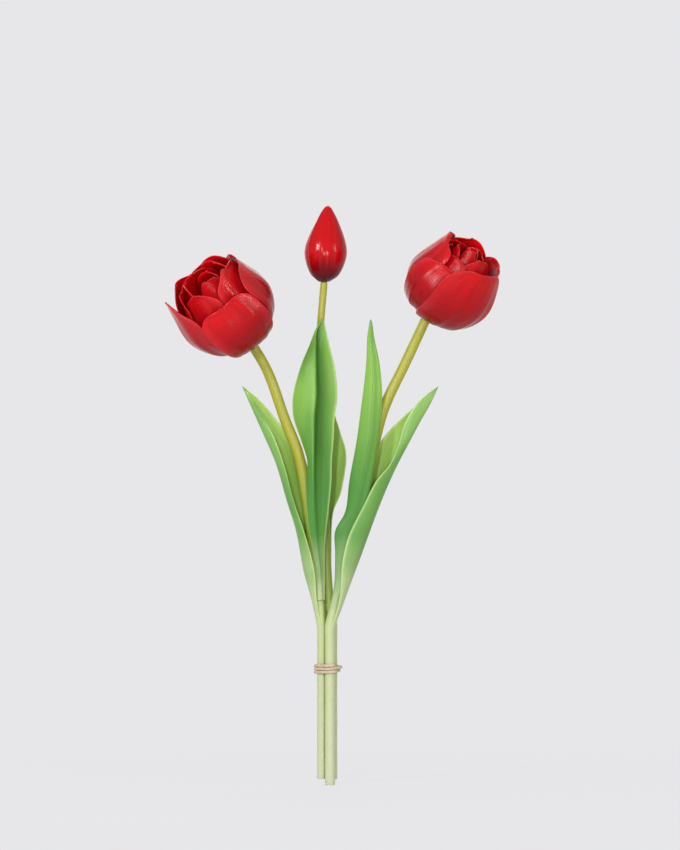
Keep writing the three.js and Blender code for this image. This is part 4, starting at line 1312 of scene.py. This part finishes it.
class TULIP_OT_bud(bpy.types.Operator):
    """Mould the bud's wrapped petals"""

    bl_idname = "tulip.bud"
    bl_label = "Bud"

    def execute(self, context):
        settings = context.scene.tulip_bud
        skin, streak, base = tuple(settings.skin), tuple(settings.streak), tuple(settings.base)
        # The bud's outer margins darken towards the streak colour: painted shade where its petals tuck
        # under one another.
        outer = petal_finish(
            "bud_outside", [(0, base), (0.2, base), (0.3, streak), (0.42, skin), (1, skin)],
            streak, mixed_paint(skin, streak, 0.6), rim_tint_sheen_shade_share=0.5, roughness=0.17, ridges=0.05,
            low_streaks=1.0, veins=0.25,
        )
        inner = petal_finish(
            "bud_inside", [(0, base), (0.3, streak), (1, skin)],
            streak, skin, rim_tint_sheen_shade_share=0.3, roughness=0.3, ridges=0.2,
        )
        add_petals("bud", context.scene.tulip_petals, settings, [outer, inner])
        return {"FINISHED"}


def leaf_thinness(clasps):
    """A leaf's share of its full thickness, less at its margins and at a foot that clasps."""
    def thin(u, v):
        edge = max(abs(u) ** 5, smooth(v, 0.8, 1))
        foot = mix(LEAF_HEEL, 1.0, smooth(v, 0, 0.1)) if clasps else 1.0
        return mix(1.0, LEAF_EDGE, edge) * foot

    return thin


class TULIP_OT_leaves(bpy.types.Operator):
    """Mould the channelled leaves that clasp the stems"""

    bl_idname = "tulip.leaves"
    bl_label = "Leaves"

    def execute(self, context):
        settings = context.scene.tulip_leaves
        outside = tuple(settings.outside)
        faces = {
            "plain": leaf_finish("leaf_outside", settings, outside, 0.9, 0.2, 0.3),
            # The folded leaf gets a strong painted shade beside its keel, the plain leaves a faint one.
            "folded": leaf_finish("leaf_folded", settings, outside, 0.9, 0.9, 0.3),
            "wall": leaf_finish("leaf_wall", settings, tuple(settings.wall), 0.6, 0.0, 0.32),
        }
        # The inner faces' finish is brightened: painted light in the channels.
        inner = leaf_finish("leaf_inside_brightened", settings, tuple(settings.inside), 0.3, 0.0, 0.4)
        thick, gap = settings.thickness / MM, settings.clearance / MM
        joints = {joint["child"]: joint for joint in frame["joints"]}
        for seed, (name, leaf) in enumerate(LEAVES.items()):
            piece = sheet_piece(
                f"{name}_moulded", settings.columns, settings.rows, leaf_shape(leaf, thick, gap),
                leaf_relief(seed, settings.relief / MM, leaf["fold"], leaf["sway"]),
                leaf_thinness(leaf["clasp"]), [faces[leaf["face"]], inner],
            )
            give_wall(piece, settings.thickness, LEAF_THINNEST)
            hinge = Vector(joints[name]["pos_m"])
            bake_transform(piece)
            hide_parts(name)
        return {"FINISHED"}


class TULIP_OT_tie(bpy.types.Operator):
    """Wind the rubber tie round the three stems"""

    bl_idname = "tulip.tie"
    bl_label = "Tie"

    def execute(self, context):
        settings = context.scene.tulip_tie
        curve = bpy.data.curves.new("stem_tie_wound", "CURVE")
        curve.dimensions = "3D"
        curve.bevel_depth = (TIE_STRAND + TIE_SQUEEZE) * MM
        curve.bevel_resolution = TIE_ROUNDNESS
        curve.use_fill_caps = True
        spots = self.route()
        spline = curve.splines.new("POLY")
        spline.points.add(len(spots) - 1)
        for point, spot in zip(spline.points, spots):
            point.co = (*(spot * MM), 1)
        curve.materials.append(plain_finish("tie_rubber", tuple(settings.colour), TIE_GRAIN, 0.6))
        piece = bpy.data.objects.new("stem_tie_wound", curve)
        context.scene.collection.objects.link(piece)
        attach(piece, "tie")
        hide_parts("stem_tie")
        return {"FINISHED"}

    def route(self):
        reach = SHANK_RADIUS + TIE_CLEARANCE + TIE_STRAND
        steps = round(TIE_TURNS * TIE_STEPS)
        spots = []
        for step in range(steps + 1):
            turn = step / TIE_STEPS
            angle = 2 * math.pi * turn + math.pi / 2
            way = Vector((math.cos(angle), math.sin(angle)))
            carrier = max(SHANKS.values(), key=lambda shank: Vector(shank).dot(way))
            slack = TIE_SLACK * math.exp(-((turn - TIE_SLACK_TURN) / TIE_SLACK_SPREAD) ** 2)
            flat = Vector(carrier) + way * (reach + slack)
            spots.append(Vector((*flat, TIE_HEIGHT + TIE_PITCH * (turn - TIE_TURNS / 2))))
        return spots


class TULIP_OT_stage(bpy.types.Operator):
    """Set the pale floor, the soft lamps and the camera"""

    bl_idname = "tulip.stage"
    bl_label = "Stage"

    def execute(self, context):
        settings = context.scene.tulip_stage
        backdrop = tuple(settings.backdrop)
        self.floor(context, backdrop)
        self.world(context, backdrop)
        for name, (place, size, power) in LAMPS.items():
            self.lamp(context, name, place, size, power)
        self.camera(context, settings)
        context.scene.view_settings.view_transform = "Standard"
        return {"FINISHED"}

    def floor(self, context, backdrop):
        plane = bmesh.new()
        bmesh.ops.create_grid(plane, x_segments=1, y_segments=1, size=FLOOR_REACH)
        mesh = bpy.data.meshes.new("floor")
        plane.to_mesh(mesh)
        plane.free()
        material, tree, shader = new_finish("pale_floor", Base_Color=backdrop, Roughness=0.9)
        glow = add_node(tree, "ShaderNodeEmission", {"Color": backdrop, "Strength": 1.0})
        reach = add_node(tree, "ShaderNodeVectorMath", {0: own_place(tree)}, operation="LENGTH")
        share = ranged(tree, reach.outputs["Value"], *SHADOW_REACH, SHADOW_SHARE, 1.0)
        self.show_flat(tree, "Material Output", shader, glow, share)
        mesh.materials.append(material)
        floor = bpy.data.objects.new("floor", mesh)
        context.scene.collection.objects.link(floor)

    def world(self, context, backdrop):
        world = bpy.data.worlds.new("soft_room")
        world.use_nodes = True
        tree = world.node_tree
        room = tree.nodes["Background"]
        room.inputs["Color"].default_value = WHITE
        room.inputs["Strength"].default_value = ROOM_LIGHT
        flat = add_node(tree, "ShaderNodeBackground", {"Color": backdrop, "Strength": 1.0})
        self.show_flat(tree, "World Output", room, flat, 1.0)
        context.scene.world = world

    def show_flat(self, tree, output, lit, flat, share):
        """Show a share of the flat colour to rays from the camera, a gloss or a clear surface."""
        path = add_node(tree, "ShaderNodeLightPath")
        direct = path.outputs["Is Camera Ray"]
        for other in ("Is Glossy Ray", "Is Transmission Ray"):
            direct = worked(tree, "MAXIMUM", direct, path.outputs[other])
        seen = times(tree, direct, share)
        blend = add_node(tree, "ShaderNodeMixShader", {0: seen, 1: lit.outputs[0], 2: flat.outputs[0]})
        tree.links.new(blend.outputs[0], tree.nodes[output].inputs["Surface"])

    def lamp(self, context, name, place, size, power):
        light = bpy.data.lights.new(name, "AREA")
        light.energy = power
        light.shape = "RECTANGLE"
        light.size, light.size_y = size
        lamp = bpy.data.objects.new(name, light)
        lamp.location = place
        aim = Vector(LAMP_AIM) - Vector(place)
        lamp.rotation_mode = "QUATERNION"
        lamp.rotation_quaternion = aim.to_track_quat("-Z", "Y")
        context.scene.collection.objects.link(lamp)

    def camera(self, context, settings):
        data = bpy.data.cameras.new("camera")
        data.sensor_width = SENSOR
        data.lens = data.sensor_width * settings.distance / settings.field
        data.clip_end = FARTHEST
        camera = bpy.data.objects.new("camera", data)
        camera.location = (settings.across, -settings.distance, settings.height)
        camera.rotation_euler = (math.pi / 2, 0, 0)
        context.scene.collection.objects.link(camera)
        context.scene.camera = camera


OPERATORS = (
    TULIP_OT_stage,
    TULIP_OT_stems,
    TULIP_OT_wires,
    TULIP_OT_flower_bases,
    TULIP_OT_open_heads,
    TULIP_OT_bud,
    TULIP_OT_leaves,
    TULIP_OT_tie,
)


class TULIP_PT_bundle(bpy.types.Panel):
    """The steps that dress the bundle"""

    bl_label = "Tulip bundle"
    bl_idname = "TULIP_PT_bundle"
    bl_space_type = "VIEW_3D"
    bl_region_type = "UI"
    bl_category = "Tulips"

    def draw(self, context):
        for step in OPERATORS:
            self.layout.operator(step.bl_idname)


SETTINGS = {
    "tulip_stems": StemSettings,
    "tulip_petals": PetalSettings,
    "tulip_bud": BudSettings,
    "tulip_leaves": LeafSettings,
    "tulip_tie": TieSettings,
    "tulip_stage": StageSettings,
}


def register():
    for group in SETTINGS.values():
        bpy.utils.register_class(group)
    for name, group in SETTINGS.items():
        setattr(bpy.types.Scene, name, PointerProperty(type=group))
    for kind in (*OPERATORS, TULIP_PT_bundle):
        bpy.utils.register_class(kind)


def unregister():
    for kind in (TULIP_PT_bundle, *reversed(OPERATORS)):
        bpy.utils.unregister_class(kind)
    for name in SETTINGS:
        delattr(bpy.types.Scene, name)
    for group in reversed(SETTINGS.values()):
        bpy.utils.unregister_class(group)


def main():
    register()
    for step in OPERATORS:
        area, name = step.bl_idname.split(".")
        getattr(getattr(bpy.ops, area), name)()


if __name__ == "__main__":
    main()
